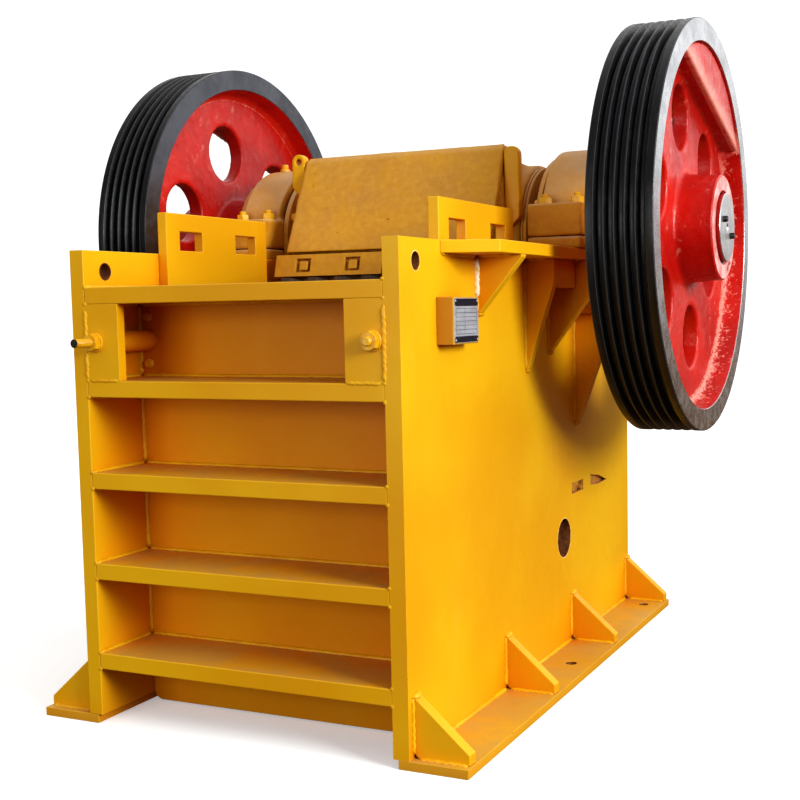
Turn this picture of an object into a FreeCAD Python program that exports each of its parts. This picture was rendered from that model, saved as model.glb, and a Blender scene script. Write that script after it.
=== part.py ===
import FreeCAD
import Part
import math
import os

# Jaw crusher with a welded plate frame, in millimetres.
# X runs along the shaft (+X is the pulley side with the name plate), the
# ribbed front wall faces -Y and Z is up.  The origin lies on the floor, in
# the middle of the four foundation bolts.
# Inside this file, Y is measured from the front edge of the side plates and
# every piece is moved to the origin above when it is written out.

# ---- side plates -------------------------------------------------------
frame_length = 1576.0
plate_top = 1100.0
plate_thickness = 38.0
plate_outer_x = 420.0
lifting_hole_radius = 20.0
lifting_hole_from_front = 75.0
lifting_hole_height = 1052.0
access_hole_radius = 54.0
access_hole_from_front = 967.0
access_hole_height = 317.0
block_slot_front = 1034.0
block_slot_length = 100.0
block_slot_height = 31.0
block_slot_middle = 444.0
arrow_pocket_front = 1200.0
arrow_pocket_length = 156.0
arrow_pocket_height = 32.0
arrow_pocket_depth = 12.0
arrow_pocket_middle = 448.0
arrow_tip_drop = 19.0
arrow_shoulder_taper = 2.5

# ---- feet --------------------------------------------------------------
foot_thickness = 20.0
foot_reach = 133.0
foot_inset = 12.0
bolt_hole_radius = 15.0
bolt_hole_from_plate = 77.0
bolt_hole_front = 794.0
bolt_hole_spacing = 688.0
foot_gusset_thickness = 30.0
foot_gusset_edge_gap = 5.0
foot_gusset_height = 130.0
foot_gusset_nose = 23.0
foot_gusset_relief = 12.0
foot_gusset_fronts = (20.0, 529.0, 1017.0)
foot_gusset_rear_gap = 8.0

# ---- front wall and ribs -------------------------------------------------
wall_front = 192.0
wall_thickness = 32.0
wall_corner_radius = 25.0
wall_floor_gap = 3.0
rib_thickness = 38.0
rib_pitch = 211.5
rib_lowest_top = 169.0
rib_count = 5

# ---- bolts through the top bay --------------------------------------------
end_plate_thickness = 24.0
end_plate_width = 91.0
bay_bolt_from_plate = 26.0
bay_bolt_radius = 10.0
bay_nut_flats = 36.0
bay_nut_thickness = 20.0
left_bolt_stub = 70.0
right_bolt_stub = 30.0
sleeve_radius = 25.0
wall_bolt_radius = 11.0
wall_bolt_spread = 112.0
wall_bolt_head = 10.0

# ---- cheek plates and jaw plates -------------------------------------------
cheek_thickness = 27.0
cheek_front = 273.0
cheek_rear = 715.0
cheek_above_plate = 100.0
cheek_bottom = 150.0
cheek_toe_length = 260.0
cheek_toe_height = 330.0
cheek_window_length = 94.0
cheek_window_height = 47.0
cheek_window_from_top = 68.0
cheek_windows_from_front = (374.0, 615.0)
jaw_plate_thickness = 40.0
tooth_height = 22.0
tooth_flank = 0.35
tooth_count = 8
fixed_jaw_bottom = 60.0
fixed_jaw_below_wall = 10.0
fixed_jaw_side_gap = 4.0

# ---- bearings ----------------------------------------------------------------
shaft_from_front = 1075.0
shaft_above_shelf = 52.0
shaft_radius = 90.0
running_clearance = 0.05
bearing_radius = 165.0
seat_radius = 222.0
housing_overlap = 24.0
housing_width = 144.0
housing_half_length = 304.0
shoulder_height = 63.0
dome_radius = 226.0
dome_margin = 8.0
cap_bolt_radius = 11.0
cap_nut_flats = 31.0
cap_nut_height = 19.0
cap_stud_above_nut = 10.0
cap_bolt_margin = 29.0
cap_bolt_from_end = 66.0
cap_bolt_hole_floor = 10.0
split_below_shaft = 20.0
saddle_below_split = 15.0
cover_thickness = 16.0
cover_radius = 208.0
cover_shaft_gap = 6.0
eye_radius = 11.0
eye_height = 22.0
eye_from_outer_face = 28.0
eye_seat_depth = 4.0
notch_gap = 6.0

# ---- bearing shelf -------------------------------------------------------------
shelf_thickness = 28.0
shelf_reach = 112.0
shelf_front = 195.0
shelf_corner_run = 68.0
shelf_rear = 1560.0
apron_thickness = 20.0
apron_reach = 78.0
apron_depth = 72.0
shelf_gusset_thickness = 28.0
gusset_edge = 6.0
small_gusset_depth = 131.0
small_gusset_front = 388.0
large_gusset_depth = 277.0
large_gusset_outer_depth = 60.0
large_gusset_foot = 6.0
large_gusset_front = 690.0
short_gusset_depth = 166.0
short_gusset_outer_depth = 27.0
short_gusset_front = 853.0
deep_gusset_drop = 127.0
deep_gusset_outer_depth = 40.0
deep_gusset_depth = 315.0
deep_gusset_foot = 12.0

# ---- rotor ----------------------------------------------------------------------
throw = 10.0
throw_angle = 253.0
throw_journal_step = 2.0
throw_journal_inset = 3.0
wheel_radius = 537.0
rim_from_plate = 209.0
rim_width = 164.0
rim_inner_radius = 479.0
web_thickness = 48.0
web_hole_radius = 84.0
web_hole_circle = 292.0
web_hole_count = 6
web_hole_angle = 41.0
hub_radius = 137.0
hub_inner_reach = 29.0
hub_outer_reach = 42.0
web_fillet = 8.0
hub_chamfer = 6.0
shaft_end_recess = 10.0
groove_count = 5
groove_pitch = 25.5
groove_depth = 19.0
groove_top_width = 22.5
groove_bottom_width = 9.0
counterweight_angle = 73.0
counterweight_chord = 352.0
counterweight_recess = 6.0
stud_radius = 8.5
stud_offset = 42.0
stud_drop = 20.0
stud_reach = 30.0
stud_depth = 40.0

# ---- swing jaw --------------------------------------------------------------------
jaw_side_gap = 17.0
jaw_hub_radius = 203.0
ring_radius = 195.0
ring_thickness = 15.0
ring_bore_gap = 10.0
jaw_rib_thickness = 40.0
jaw_inner_rib_x = 130.0
guard_inset_top = 35.0
guard_inset_bottom = 30.0
guard_thickness = 30.0
lug_width = 44.0
lug_thickness = 28.0
lug_front = 846.0
lug_eye_height = 1374.0
lug_eye_radius = 9.0
lug_root_height = 1262.0
lug_foot = 6.0
lug_taper_height = 40.0
right_lug_height = 1354.0
right_lug_root_height = 1150.0
clamp_gap = 8.0
clamp_bar_depth = 75.0
clamp_pocket_length = 46.0
clamp_pocket_height = 38.0
clamp_pocket_depth = 14.0
clamp_head_side = 26.0
clamp_head_recess = 2.0
clamp_pocket_from_end = 90.0
jaw_seat_y = 640.0
jaw_seat_z = 205.0
jaw_toe_bottom = 130.0
jaw_toe_top = 290.0
jaw_toe_reach = 20.0
jaw_toe_depth = 60.0
jaw_toe_wall = 50.0
slab_below_plate = 30.0
slab_above_plate = 62.0
head_rear_inset = 40.0
head_into_hub = 8.0
slab_hub_drop = 120.0
slab_hub_inset = 150.0
rib_hub_drop = 160.0
rib_hub_reach = 120.0
toggle_gap = 44.0
toggle_thickness = 40.0
toggle_inset = 38.0
toggle_socket_gap = 10.0
toggle_seat_radius = 30.0

# ---- rear --------------------------------------------------------------------------
rear_wall_thickness = 32.0
rear_wall_top = 640.0
rear_wall_bottom = 120.0
rear_rib_depth = 90.0
beam_thickness = 40.0
beam_front = 1240.0
beam_bottom = 190.0
beam_top = 520.0
block_front = 1010.0
block_bottom = 230.0
block_top = 400.0
block_end_gap = 12.0

# ---- name plate ---------------------------------------------------------------------
bracket_depth = 40.0
bracket_length = 132.0
bracket_height = 102.0
bracket_front = 170.0
bracket_bottom = 876.0
bracket_sheet = 6.0
name_plate_thickness = 3.0
name_plate_length = 126.0

# ---- values worked out from the ones above ------------------------------------------
plate_inner_x = plate_outer_x - plate_thickness
foot_outer_x = plate_outer_x + foot_reach
bolt_hole_x = plate_outer_x + bolt_hole_from_plate
end_plate_inner_x = plate_inner_x - end_plate_width
bay_bolt_x = plate_inner_x - bay_bolt_from_plate
cheek_inner_x = plate_inner_x - cheek_thickness
wall_back = wall_front + wall_thickness
cheek_top = plate_top + cheek_above_plate
cheek_window_middle = cheek_top - cheek_window_from_top
shelf_bottom = plate_top - shelf_thickness
shelf_outer_x = plate_outer_x + shelf_reach
apron_bottom = shelf_bottom - apron_depth
shaft_height = plate_top + shaft_above_shelf
housing_inner_x = plate_outer_x - housing_overlap
rim_inner_x = plate_outer_x + rim_from_plate
web_middle_x = rim_inner_x + rim_width / 2
web_inner_x = web_middle_x - web_thickness / 2
web_outer_x = web_middle_x + web_thickness / 2
rim_outer_x = rim_inner_x + rim_width
hub_inner_x = rim_inner_x - hub_inner_reach
hub_outer_x = rim_outer_x + hub_outer_reach
housing_outer_x = housing_inner_x + housing_width
shaft_end_x = hub_outer_x - shaft_end_recess
rib_tops = [rib_lowest_top + i * rib_pitch for i in range(rib_count)]
wall_top = rib_tops[-1]
fixed_jaw_top = wall_top - fixed_jaw_below_wall
bay_bottom = rib_tops[-2]
bay_top = wall_top - rib_thickness
bay_bolt_height = (bay_bottom + bay_top) / 2
throw_y = throw * math.cos(math.radians(throw_angle))
throw_z = throw * math.sin(math.radians(throw_angle))
hub_y = shaft_from_front + throw_y
hub_z = shaft_height + throw_z
throw_journal_radius = shaft_radius + throw + throw_journal_step
jaw_half_width = cheek_inner_x - jaw_side_gap
throw_journal_half_length = jaw_half_width - throw_journal_inset
jaw_hub_half_length = jaw_half_width
ring_bore_radius = throw_journal_radius + ring_bore_gap
guard_half_width_top = jaw_half_width - guard_inset_top
guard_half_width_bottom = jaw_half_width - guard_inset_bottom
toggle_half_width = jaw_half_width - toggle_inset
origin_from_front = bolt_hole_front + bolt_hole_spacing / 2

# The side view of the swing jaw as (y, z) points, up its front and over its head.
jaw_foot = (378.0, 160.0)
jaw_lip = (716.0, 1046.0)
clamp_low = (722.0, 1048.0)
clamp_high = (738.0, 1108.0)
guard_low = (736.0, 1114.0)
guard_high = (848.0, 1372.0)
guard_back = (868.0, 1386.0)
head_back = (912.0, 1386.0)
head_shoulder = (950.0, 1364.0)


def box(x0, x1, y0, y1, z0, z1):
    """A block between two corners."""
    corner = FreeCAD.Vector(x0, y0, z0)
    return Part.makeBox(x1 - x0, y1 - y0, z1 - z0, corner)


def rod(x0, x1, y, z, radius):
    """A round bar along X."""
    start = FreeCAD.Vector(x0, y, z)
    return Part.makeCylinder(radius, x1 - x0, start, FreeCAD.Vector(1, 0, 0))


def rod_y(x, y0, y1, z, radius):
    """A round bar along Y."""
    start = FreeCAD.Vector(x, y0, z)
    return Part.makeCylinder(radius, y1 - y0, start, FreeCAD.Vector(0, 1, 0))


def rod_z(x, y, z0, z1, radius):
    """A round bar along Z."""
    start = FreeCAD.Vector(x, y, z0)
    return Part.makeCylinder(radius, z1 - z0, start, FreeCAD.Vector(0, 0, 1))


def side_profile(points, x0, x1):
    """A plate cut to (y, z) points, from x0 to x1."""
    corners = [FreeCAD.Vector(x0, y, z) for y, z in points]
    wire = Part.makePolygon(corners + [corners[0]])
    return Part.Face(wire).extrude(FreeCAD.Vector(x1 - x0, 0, 0))


def cross_profile(points, y0, y1):
    """A plate cut to (x, z) points, from y0 to y1."""
    corners = [FreeCAD.Vector(x, y0, z) for x, z in points]
    wire = Part.makePolygon(corners + [corners[0]])
    return Part.Face(wire).extrude(FreeCAD.Vector(0, y1 - y0, 0))


def plan_profile(points, z0, z1):
    """A plate cut to (x, y) points, from z0 to z1."""
    corners = [FreeCAD.Vector(x, y, z0) for x, y in points]
    wire = Part.makePolygon(corners + [corners[0]])
    return Part.Face(wire).extrude(FreeCAD.Vector(0, 0, z1 - z0))


def turned(points, y, z):
    """A ring turned about X from (x, radius) points."""
    corners = [FreeCAD.Vector(x, y, z + r) for x, r in points]
    wire = Part.makePolygon(corners + [corners[0]])
    centre = FreeCAD.Vector(0, y, z)
    return Part.Face(wire).revolve(centre, FreeCAD.Vector(1, 0, 0), 360)


def hexagon(flats, angle_offset=0.0):
    """Six corner offsets of a hexagon with this width across flats."""
    radius = flats / 2 / math.cos(math.radians(30))
    corners = []
    for i in range(6):
        angle = math.radians(60 * i + angle_offset)
        corners.append((radius * math.cos(angle), radius * math.sin(angle)))
    return corners


def mirrored(shape):
    """The same piece on the other side of the machine."""
    return shape.mirror(FreeCAD.Vector(0, 0, 0), FreeCAD.Vector(1, 0, 0))


def mirrored_in_y(shape, y):
    """The same piece on the other side of a plane across the machine."""
    return shape.mirror(FreeCAD.Vector(0, y, 0), FreeCAD.Vector(0, 1, 0))


def both_sides(shapes):
    """Pieces on the right, with their twins on the left."""
    return list(shapes) + [mirrored(s) for s in shapes]


def save(name, shapes):
    """Move a piece to the origin and write it."""
    moved = []
    for shape in shapes:
        for solid in shape.Solids:
            copy = solid.copy()
            copy.translate(FreeCAD.Vector(0, -origin_from_front, 0))
            moved.append(copy)
    whole = moved[0] if len(moved) == 1 else Part.makeCompound(moved)
    whole.exportStep("parts/" + name + ".step")


os.makedirs("parts", exist_ok=True)

# ---- side plates --------------------------------------------------------------------
plate = box(plate_inner_x, plate_outer_x, 0, frame_length, foot_thickness, plate_top)
plate = plate.cut(
    rod(plate_inner_x - 1, plate_outer_x + 1, lifting_hole_from_front,
        lifting_hole_height, lifting_hole_radius))
plate = plate.cut(
    rod(plate_inner_x - 1, plate_outer_x + 1, access_hole_from_front,
        access_hole_height, access_hole_radius))
plate = plate.cut(
    rod(plate_inner_x - 1, plate_outer_x + 1, shaft_from_front, shaft_height,
        seat_radius + notch_gap))
slot_low = block_slot_middle - block_slot_height / 2
slot_high = block_slot_middle + block_slot_height / 2
plate = plate.cut(
    box(plate_inner_x - 1, plate_outer_x + 1, block_slot_front,
        block_slot_front + block_slot_length, slot_low, slot_high))
arrow_half = arrow_pocket_height / 2
arrow_rear = arrow_pocket_front + arrow_pocket_length
arrow_shoulder = (arrow_pocket_front + arrow_rear) / 2
arrow_shoulder_middle = arrow_pocket_middle - arrow_tip_drop / 2
arrow = side_profile(
    [(arrow_pocket_front, arrow_pocket_middle - arrow_half),
     (arrow_shoulder, arrow_shoulder_middle - arrow_half + arrow_shoulder_taper),
     (arrow_rear, arrow_pocket_middle - arrow_tip_drop),
     (arrow_shoulder, arrow_shoulder_middle + arrow_half - arrow_shoulder_taper),
     (arrow_pocket_front, arrow_pocket_middle + arrow_half)],
    plate_outer_x - arrow_pocket_depth, plate_outer_x + 1)
plate = plate.cut(arrow)
save("side_plate_right", [plate])
save("side_plate_left", [mirrored(plate)])

# ---- feet ---------------------------------------------------------------------------
foot = box(plate_inner_x + foot_inset, foot_outer_x, 0, frame_length, 0, foot_thickness)
for i in range(2):
    hole_y = bolt_hole_front + i * bolt_hole_spacing
    foot = foot.cut(rod_z(bolt_hole_x, hole_y, -1, foot_thickness + 1, bolt_hole_radius))
save("foot_plates", both_sides([foot]))

gusset_top = foot_thickness + foot_gusset_height
gusset_tip = foot_outer_x - foot_gusset_edge_gap
last_gusset_front = frame_length - foot_gusset_thickness - foot_gusset_rear_gap
foot_gussets = []
for gusset_y in foot_gusset_fronts + (last_gusset_front,):
    gusset = cross_profile(
        [(plate_outer_x, foot_thickness + foot_gusset_relief),
         (plate_outer_x + foot_gusset_relief, foot_thickness),
         (gusset_tip, foot_thickness),
         (gusset_tip, foot_thickness + foot_gusset_nose),
         (plate_outer_x + 6, gusset_top),
         (plate_outer_x, gusset_top)],
        gusset_y, gusset_y + foot_gusset_thickness)
    foot_gussets.append(gusset)
save("foot_gussets", both_sides(foot_gussets))

# ---- front wall ---------------------------------------------------------------------
wall = box(-plate_inner_x, plate_inner_x, wall_front, wall_back, wall_floor_gap, wall_top)
low_edges = []
for edge in wall.Edges:
    ends = [v.Point for v in edge.Vertexes]
    along_y = abs(ends[0].y - ends[1].y) > 1
    at_bottom = max(ends[0].z, ends[1].z) < wall_floor_gap + 1
    if along_y and at_bottom:
        low_edges.append(edge)
wall = wall.makeFillet(wall_corner_radius, low_edges)
save("front_wall", [wall])

ribs = []
for top in rib_tops:
    ribs.append(box(-plate_inner_x, plate_inner_x, 0, wall_front, top - rib_thickness, top))
save("front_ribs", ribs)

# ---- top bay: end plates, sleeves, bolts --------------------------------------------
end_plate = box(end_plate_inner_x, plate_inner_x, 0, end_plate_thickness, bay_bottom, bay_top)
end_plate = end_plate.cut(
    rod_y(bay_bolt_x, -1, end_plate_thickness + 1, bay_bolt_height, bay_bolt_radius))
save("front_end_plates", both_sides([end_plate]))

sleeve = rod_y(bay_bolt_x, end_plate_thickness, wall_front, bay_bolt_height, sleeve_radius)
sleeve = sleeve.cut(
    rod_y(bay_bolt_x, end_plate_thickness - 1, wall_front + 1, bay_bolt_height,
          bay_bolt_radius))
save("bolt_sleeves", both_sides([sleeve]))

nut_corners = []
for dx, dz in hexagon(bay_nut_flats, 30.0):
    nut_corners.append((bay_bolt_x + dx, bay_bolt_height + dz))
nut = cross_profile(nut_corners, -bay_nut_thickness, 0)
right_bolt = nut.fuse(
    rod_y(bay_bolt_x, -right_bolt_stub, wall_front, bay_bolt_height, bay_bolt_radius))
left_bolt = nut.fuse(
    rod_y(bay_bolt_x, -left_bolt_stub, wall_front, bay_bolt_height, bay_bolt_radius))
save("bay_bolts", [right_bolt, mirrored(left_bolt)])

wall_bolts = []
for sign in (-1, 1):
    bolt_z = bay_bolt_height + sign * wall_bolt_spread / 2
    wall_bolts.append(
        rod_y(bay_bolt_x, wall_front - wall_bolt_head, wall_front, bolt_z, wall_bolt_radius))
save("wall_bolt_heads", both_sides(wall_bolts))

# ---- cheek plates -------------------------------------------------------------------
cheek = side_profile(
    [(cheek_front, cheek_bottom), (cheek_rear - cheek_toe_length, cheek_bottom),
     (cheek_rear, cheek_top - cheek_toe_height), (cheek_rear, cheek_top), (cheek_front, cheek_top)],
    cheek_inner_x, plate_inner_x)
for middle in cheek_windows_from_front:
    cheek = cheek.cut(
        box(cheek_inner_x - 1, plate_inner_x + 1,
            middle - cheek_window_length / 2, middle + cheek_window_length / 2,
            cheek_window_middle - cheek_window_height / 2,
            cheek_window_middle + cheek_window_height / 2))
save("cheek_plates", both_sides([cheek]))


def toothed_outline(back, front, half_width):
    """(x, y) points of a ribbed plate seen from above, teeth on the front."""
    points = [(-half_width, back), (half_width, back)]
    step = 2 * half_width / tooth_count
    direction = 1 if front > back else -1
    root = front - direction * tooth_height
    for i in range(tooth_count):
        right = half_width - i * step
        points.append((right, root))
        points.append((right - step * tooth_flank, front))
        points.append((right - step * (1 - tooth_flank), front))
    points.append((-half_width, root))
    return points


# ---- fixed jaw plate ----------------------------------------------------------------
fixed_front = wall_back + jaw_plate_thickness + tooth_height
fixed_half = cheek_inner_x - fixed_jaw_side_gap
fixed_outline = toothed_outline(wall_back, fixed_front, fixed_half)
fixed_jaw = plan_profile(fixed_outline, fixed_jaw_bottom, fixed_jaw_top)
save("fixed_jaw_plate", [fixed_jaw])

# ---- bearing shelves ----------------------------------------------------------------
shelf_corner = shelf_front + shelf_corner_run
shelf = plan_profile(
    [(plate_outer_x, shelf_front),
     (shelf_outer_x, shelf_corner),
     (shelf_outer_x, shelf_rear - shelf_corner_run),
     (plate_outer_x, shelf_rear)],
    shelf_bottom, plate_top)
seat_space = rod(plate_inner_x, housing_outer_x + 50, shaft_from_front, shaft_height,
                 seat_radius)
shelf = shelf.cut(seat_space)
save("bearing_shelves", both_sides([shelf]))

# Gusset outlines under the shelf, as (x, z) points.


def hanging_gusset(reach, top, depth, outer_depth, foot):
    """(x, z) points of a gusset that tapers from its full reach to the side plate."""
    outer_x = plate_outer_x + reach
    return [(plate_outer_x, top), (outer_x, top), (outer_x, top - outer_depth),
            (plate_outer_x + foot, top - depth), (plate_outer_x, top - depth)]


small_gusset = hanging_gusset(shelf_reach, shelf_bottom, small_gusset_depth, gusset_edge,
                              gusset_edge)
large_gusset = hanging_gusset(apron_reach, shelf_bottom, large_gusset_depth,
                              large_gusset_outer_depth, large_gusset_foot)
short_gusset = hanging_gusset(shelf_reach, shelf_bottom, apron_depth + short_gusset_depth,
                              apron_depth + short_gusset_outer_depth, gusset_edge)
deep_gusset = hanging_gusset(shelf_reach, shelf_bottom - deep_gusset_drop, deep_gusset_depth,
                             deep_gusset_outer_depth, deep_gusset_foot)
apron_front = large_gusset_front + shelf_gusset_thickness
apron_rear = 2 * shaft_from_front - apron_front
apron_outer_x = plate_outer_x + apron_reach
apron = box(apron_outer_x - apron_thickness, apron_outer_x, apron_front, apron_rear,
            apron_bottom, shelf_bottom)
apron = apron.cut(seat_space)
gusset_places = [
    (small_gusset_front, small_gusset), (large_gusset_front, large_gusset),
    (short_gusset_front, short_gusset),
    (shaft_from_front - shelf_gusset_thickness / 2, deep_gusset)]
shelf_gussets = []
for gusset_y, outline in gusset_places:
    gusset = cross_profile(outline, gusset_y, gusset_y + shelf_gusset_thickness)
    shelf_gussets.append(gusset.cut(seat_space).cut(apron))
for gusset in list(shelf_gussets[1:3]):
    shelf_gussets.append(mirrored_in_y(gusset, shaft_from_front))
save("shelf_gussets", both_sides(shelf_gussets))
save("shelf_aprons", both_sides([apron]))

# ---- bearing housings ---------------------------------------------------------------
bearing_hole = rod(housing_inner_x - 1, housing_outer_x + 1, shaft_from_front,
                   shaft_height, bearing_radius)
housing_front = shaft_from_front - housing_half_length
housing_rear = shaft_from_front + housing_half_length
split_z = shaft_height - split_below_shaft
saddle = rod(housing_inner_x, shelf_outer_x, shaft_from_front, shaft_height, seat_radius)
saddle = saddle.cut(
    box(0, 1000, 0, frame_length, split_z - saddle_below_split, shaft_height + 400))
seat = box(housing_inner_x, housing_outer_x, housing_front, housing_rear,
           plate_top, split_z)
seat = seat.fuse(saddle).cut(bearing_hole).removeSplitter()
cap = box(housing_inner_x, housing_outer_x, housing_front, housing_rear,
          split_z, shaft_height + shoulder_height)
dome = rod(housing_inner_x + dome_margin, housing_outer_x - dome_margin,
           shaft_from_front, shaft_height, dome_radius)
dome = dome.cut(box(0, 1000, 0, frame_length, 0, shaft_height))
cap = cap.fuse(dome).cut(bearing_hole).removeSplitter()
bolt_xs = (housing_inner_x + cap_bolt_margin, housing_outer_x - cap_bolt_margin)
bolt_ys = (housing_front + cap_bolt_from_end, housing_rear - cap_bolt_from_end)
shoulder_top = shaft_height + shoulder_height
cap_bolt_floor = plate_top + cap_bolt_hole_floor
cap_bolts = []
for bolt_x in bolt_xs:
    for bolt_y in bolt_ys:
        hole = rod_z(bolt_x, bolt_y, cap_bolt_floor, shoulder_top + 1, cap_bolt_radius)
        seat = seat.cut(hole)
        cap = cap.cut(hole)
        corners = [(bolt_x + dx, bolt_y + dy) for dx, dy in hexagon(cap_nut_flats)]
        nut_top = shoulder_top + cap_nut_height
        cap_nut = plan_profile(corners, shoulder_top, nut_top)
        stud = rod_z(bolt_x, bolt_y, cap_bolt_floor, nut_top + cap_stud_above_nut,
                     cap_bolt_radius)
        cap_bolts.append(cap_nut.fuse(stud))
save("bearing_seats", both_sides([seat]))
save("bearing_caps", both_sides([cap]))
save("bearing_cap_bolts", both_sides(cap_bolts))

eye_x = housing_outer_x - eye_from_outer_face
eye = rod_z(eye_x, shaft_from_front, shaft_height + dome_radius - eye_seat_depth,
            shaft_height + dome_radius + eye_height, eye_radius)
eye = eye.cut(rod(0, 1000, shaft_from_front, shaft_height, dome_radius))
save("bearing_cap_bosses", both_sides([eye]))

bearing = rod(housing_inner_x, housing_outer_x, shaft_from_front, shaft_height,
              bearing_radius)
bearing = bearing.cut(
    rod(housing_inner_x - 1, housing_outer_x + 1, shaft_from_front, shaft_height,
        shaft_radius + running_clearance))
save("main_bearings", both_sides([bearing]))

covers = []
for start in (housing_inner_x - cover_thickness, housing_outer_x):
    cover = rod(start, start + cover_thickness, shaft_from_front, shaft_height,
                cover_radius)
    cover = cover.cut(
        rod(start - 1, start + cover_thickness + 1, shaft_from_front, shaft_height,
            shaft_radius + cover_shaft_gap))
    covers.append(cover)
save("bearing_covers", both_sides(covers))

# ---- rear wall, ribs and toggle seat ------------------------------------------------
rear_front = frame_length - rear_wall_thickness
rear_wall = box(-plate_inner_x, plate_inner_x, rear_front, frame_length,
                rear_wall_bottom, rear_wall_top)
save("rear_wall", [rear_wall])
rear_ribs = []
for top in rib_tops[:3]:
    rear_ribs.append(
        box(-plate_inner_x, plate_inner_x, rear_front - rear_rib_depth, rear_front,
            top - rib_thickness, top))
save("rear_ribs", rear_ribs)

beam = box(-plate_inner_x, plate_inner_x, beam_front, beam_front + beam_thickness,
           beam_bottom, beam_top)
save("toggle_beam", [beam])

block_seat_z = (block_bottom + block_top) / 2
block_half = plate_inner_x - block_end_gap
block = box(-block_half, block_half, block_front, beam_front, block_bottom, block_top)
block = block.cut(
    rod(-block_half - 1, block_half + 1, block_front, block_seat_z, toggle_seat_radius))
save("toggle_block", [block])

run_y = block_front - jaw_seat_y
run_z = block_seat_z - jaw_seat_z
toggle_length = math.hypot(run_y, run_z)
toggle_angle = math.degrees(math.atan2(run_z, run_y))
toggle = box(-toggle_half_width, toggle_half_width, jaw_seat_y + toggle_gap,
             jaw_seat_y + toggle_length, jaw_seat_z - toggle_thickness / 2,
             jaw_seat_z + toggle_thickness / 2)
toggle.rotate(FreeCAD.Vector(0, jaw_seat_y, jaw_seat_z), FreeCAD.Vector(1, 0, 0), toggle_angle)
toggle_end = rod(-toggle_half_width, toggle_half_width, block_front, block_seat_z,
                 toggle_seat_radius)
toggle = toggle.fuse(toggle_end).removeSplitter()
save("toggle_plate", [toggle])

# ---- name plate ---------------------------------------------------------------------
bracket_outer_x = plate_outer_x + bracket_depth
bracket_rear = bracket_front + bracket_length
bracket = box(plate_outer_x, bracket_outer_x, bracket_front, bracket_rear,
              bracket_bottom, bracket_bottom + bracket_height)
bracket = bracket.cut(
    box(plate_outer_x - 1, bracket_outer_x - bracket_sheet, bracket_front + bracket_sheet,
        bracket_rear - bracket_sheet, bracket_bottom - 1,
        bracket_bottom + bracket_height + 1))
save("name_plate_bracket", [bracket])
plate_margin = (bracket_length - name_plate_length) / 2
name_plate = box(bracket_outer_x, bracket_outer_x + name_plate_thickness,
                 bracket_front + plate_margin, bracket_rear - plate_margin,
                 bracket_bottom + plate_margin, bracket_bottom + bracket_height - plate_margin)
save("name_plate", [name_plate])

# ---- eccentric shaft ----------------------------------------------------------------
shaft = rod(-shaft_end_x, shaft_end_x, shaft_from_front, shaft_height, shaft_radius)
shaft = shaft.fuse(
    rod(-throw_journal_half_length, throw_journal_half_length, hub_y, hub_z,
        throw_journal_radius)).removeSplitter()
stud_places = []
for side in (-1, 1):
    stud_places.append((shaft_from_front + side * stud_offset, shaft_height - side * stud_drop))
studs = []
for stud_y, stud_z in stud_places:
    stud = rod(shaft_end_x - stud_depth, shaft_end_x + stud_reach, stud_y, stud_z,
               stud_radius)
    for piece in both_sides([stud]):
        shaft = shaft.cut(piece)
        studs.append(piece)
save("eccentric_shaft", [shaft])
save("shaft_end_studs", studs)

# ---- flywheels ----------------------------------------------------------------------
groove_start = rim_inner_x + (rim_width - (groove_count - 1) * groove_pitch) / 2
tread = []
for i in range(groove_count):
    middle = groove_start + i * groove_pitch
    tread.append((middle - groove_top_width / 2, wheel_radius))
    tread.append((middle - groove_bottom_width / 2, wheel_radius - groove_depth))
    tread.append((middle + groove_bottom_width / 2, wheel_radius - groove_depth))
    tread.append((middle + groove_top_width / 2, wheel_radius))
web_rim_radius = rim_inner_radius - web_fillet
web_hub_radius = hub_radius + web_fillet
rim_outline = [
    (web_inner_x, web_rim_radius), (rim_inner_x, rim_inner_radius), (rim_inner_x, wheel_radius)]
rim_outline += tread
rim_outline += [
    (rim_outer_x, wheel_radius), (rim_outer_x, rim_inner_radius), (web_outer_x, web_rim_radius)]
rim = turned(rim_outline, shaft_from_front, shaft_height)
save("flywheel_rim_right", [rim])
save("flywheel_rim_left", [mirrored(rim)])

disc_outline = [
    (hub_inner_x, shaft_radius), (hub_inner_x, hub_radius), (web_inner_x, web_hub_radius),
    (web_inner_x, web_rim_radius), (web_outer_x, web_rim_radius), (web_outer_x, web_hub_radius),
    (hub_outer_x, hub_radius), (hub_outer_x, shaft_radius + hub_chamfer),
    (shaft_end_x, shaft_radius)]
disc = turned(disc_outline, shaft_from_front, shaft_height)
for i in range(web_hole_count):
    angle = math.radians(web_hole_angle + i * 360 / web_hole_count)
    hole_y = shaft_from_front + web_hole_circle * math.cos(angle)
    hole_z = shaft_height + web_hole_circle * math.sin(angle)
    disc = disc.cut(rod(web_inner_x - 1, web_outer_x + 1, hole_y, hole_z, web_hole_radius))
weight_outer_x = rim_outer_x - counterweight_recess
weight = rod(web_outer_x - 1, weight_outer_x, shaft_from_front, shaft_height, wheel_radius)
keep = box(web_outer_x - 5, weight_outer_x + 5, shaft_from_front + counterweight_chord,
           shaft_from_front + wheel_radius, shaft_height - wheel_radius,
           shaft_height + wheel_radius)
keep.rotate(FreeCAD.Vector(0, shaft_from_front, shaft_height), FreeCAD.Vector(1, 0, 0),
            counterweight_angle)
weight = weight.common(keep).common(turned(
    [(web_outer_x - 1, 0.0), (web_outer_x - 1, web_rim_radius), (web_outer_x, web_rim_radius),
     (rim_outer_x, rim_inner_radius), (rim_outer_x, 0.0)], shaft_from_front, shaft_height))
disc = disc.fuse(weight).removeSplitter()
save("flywheel_disc_right", [disc])
save("flywheel_disc_left", [mirrored(disc)])

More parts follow.
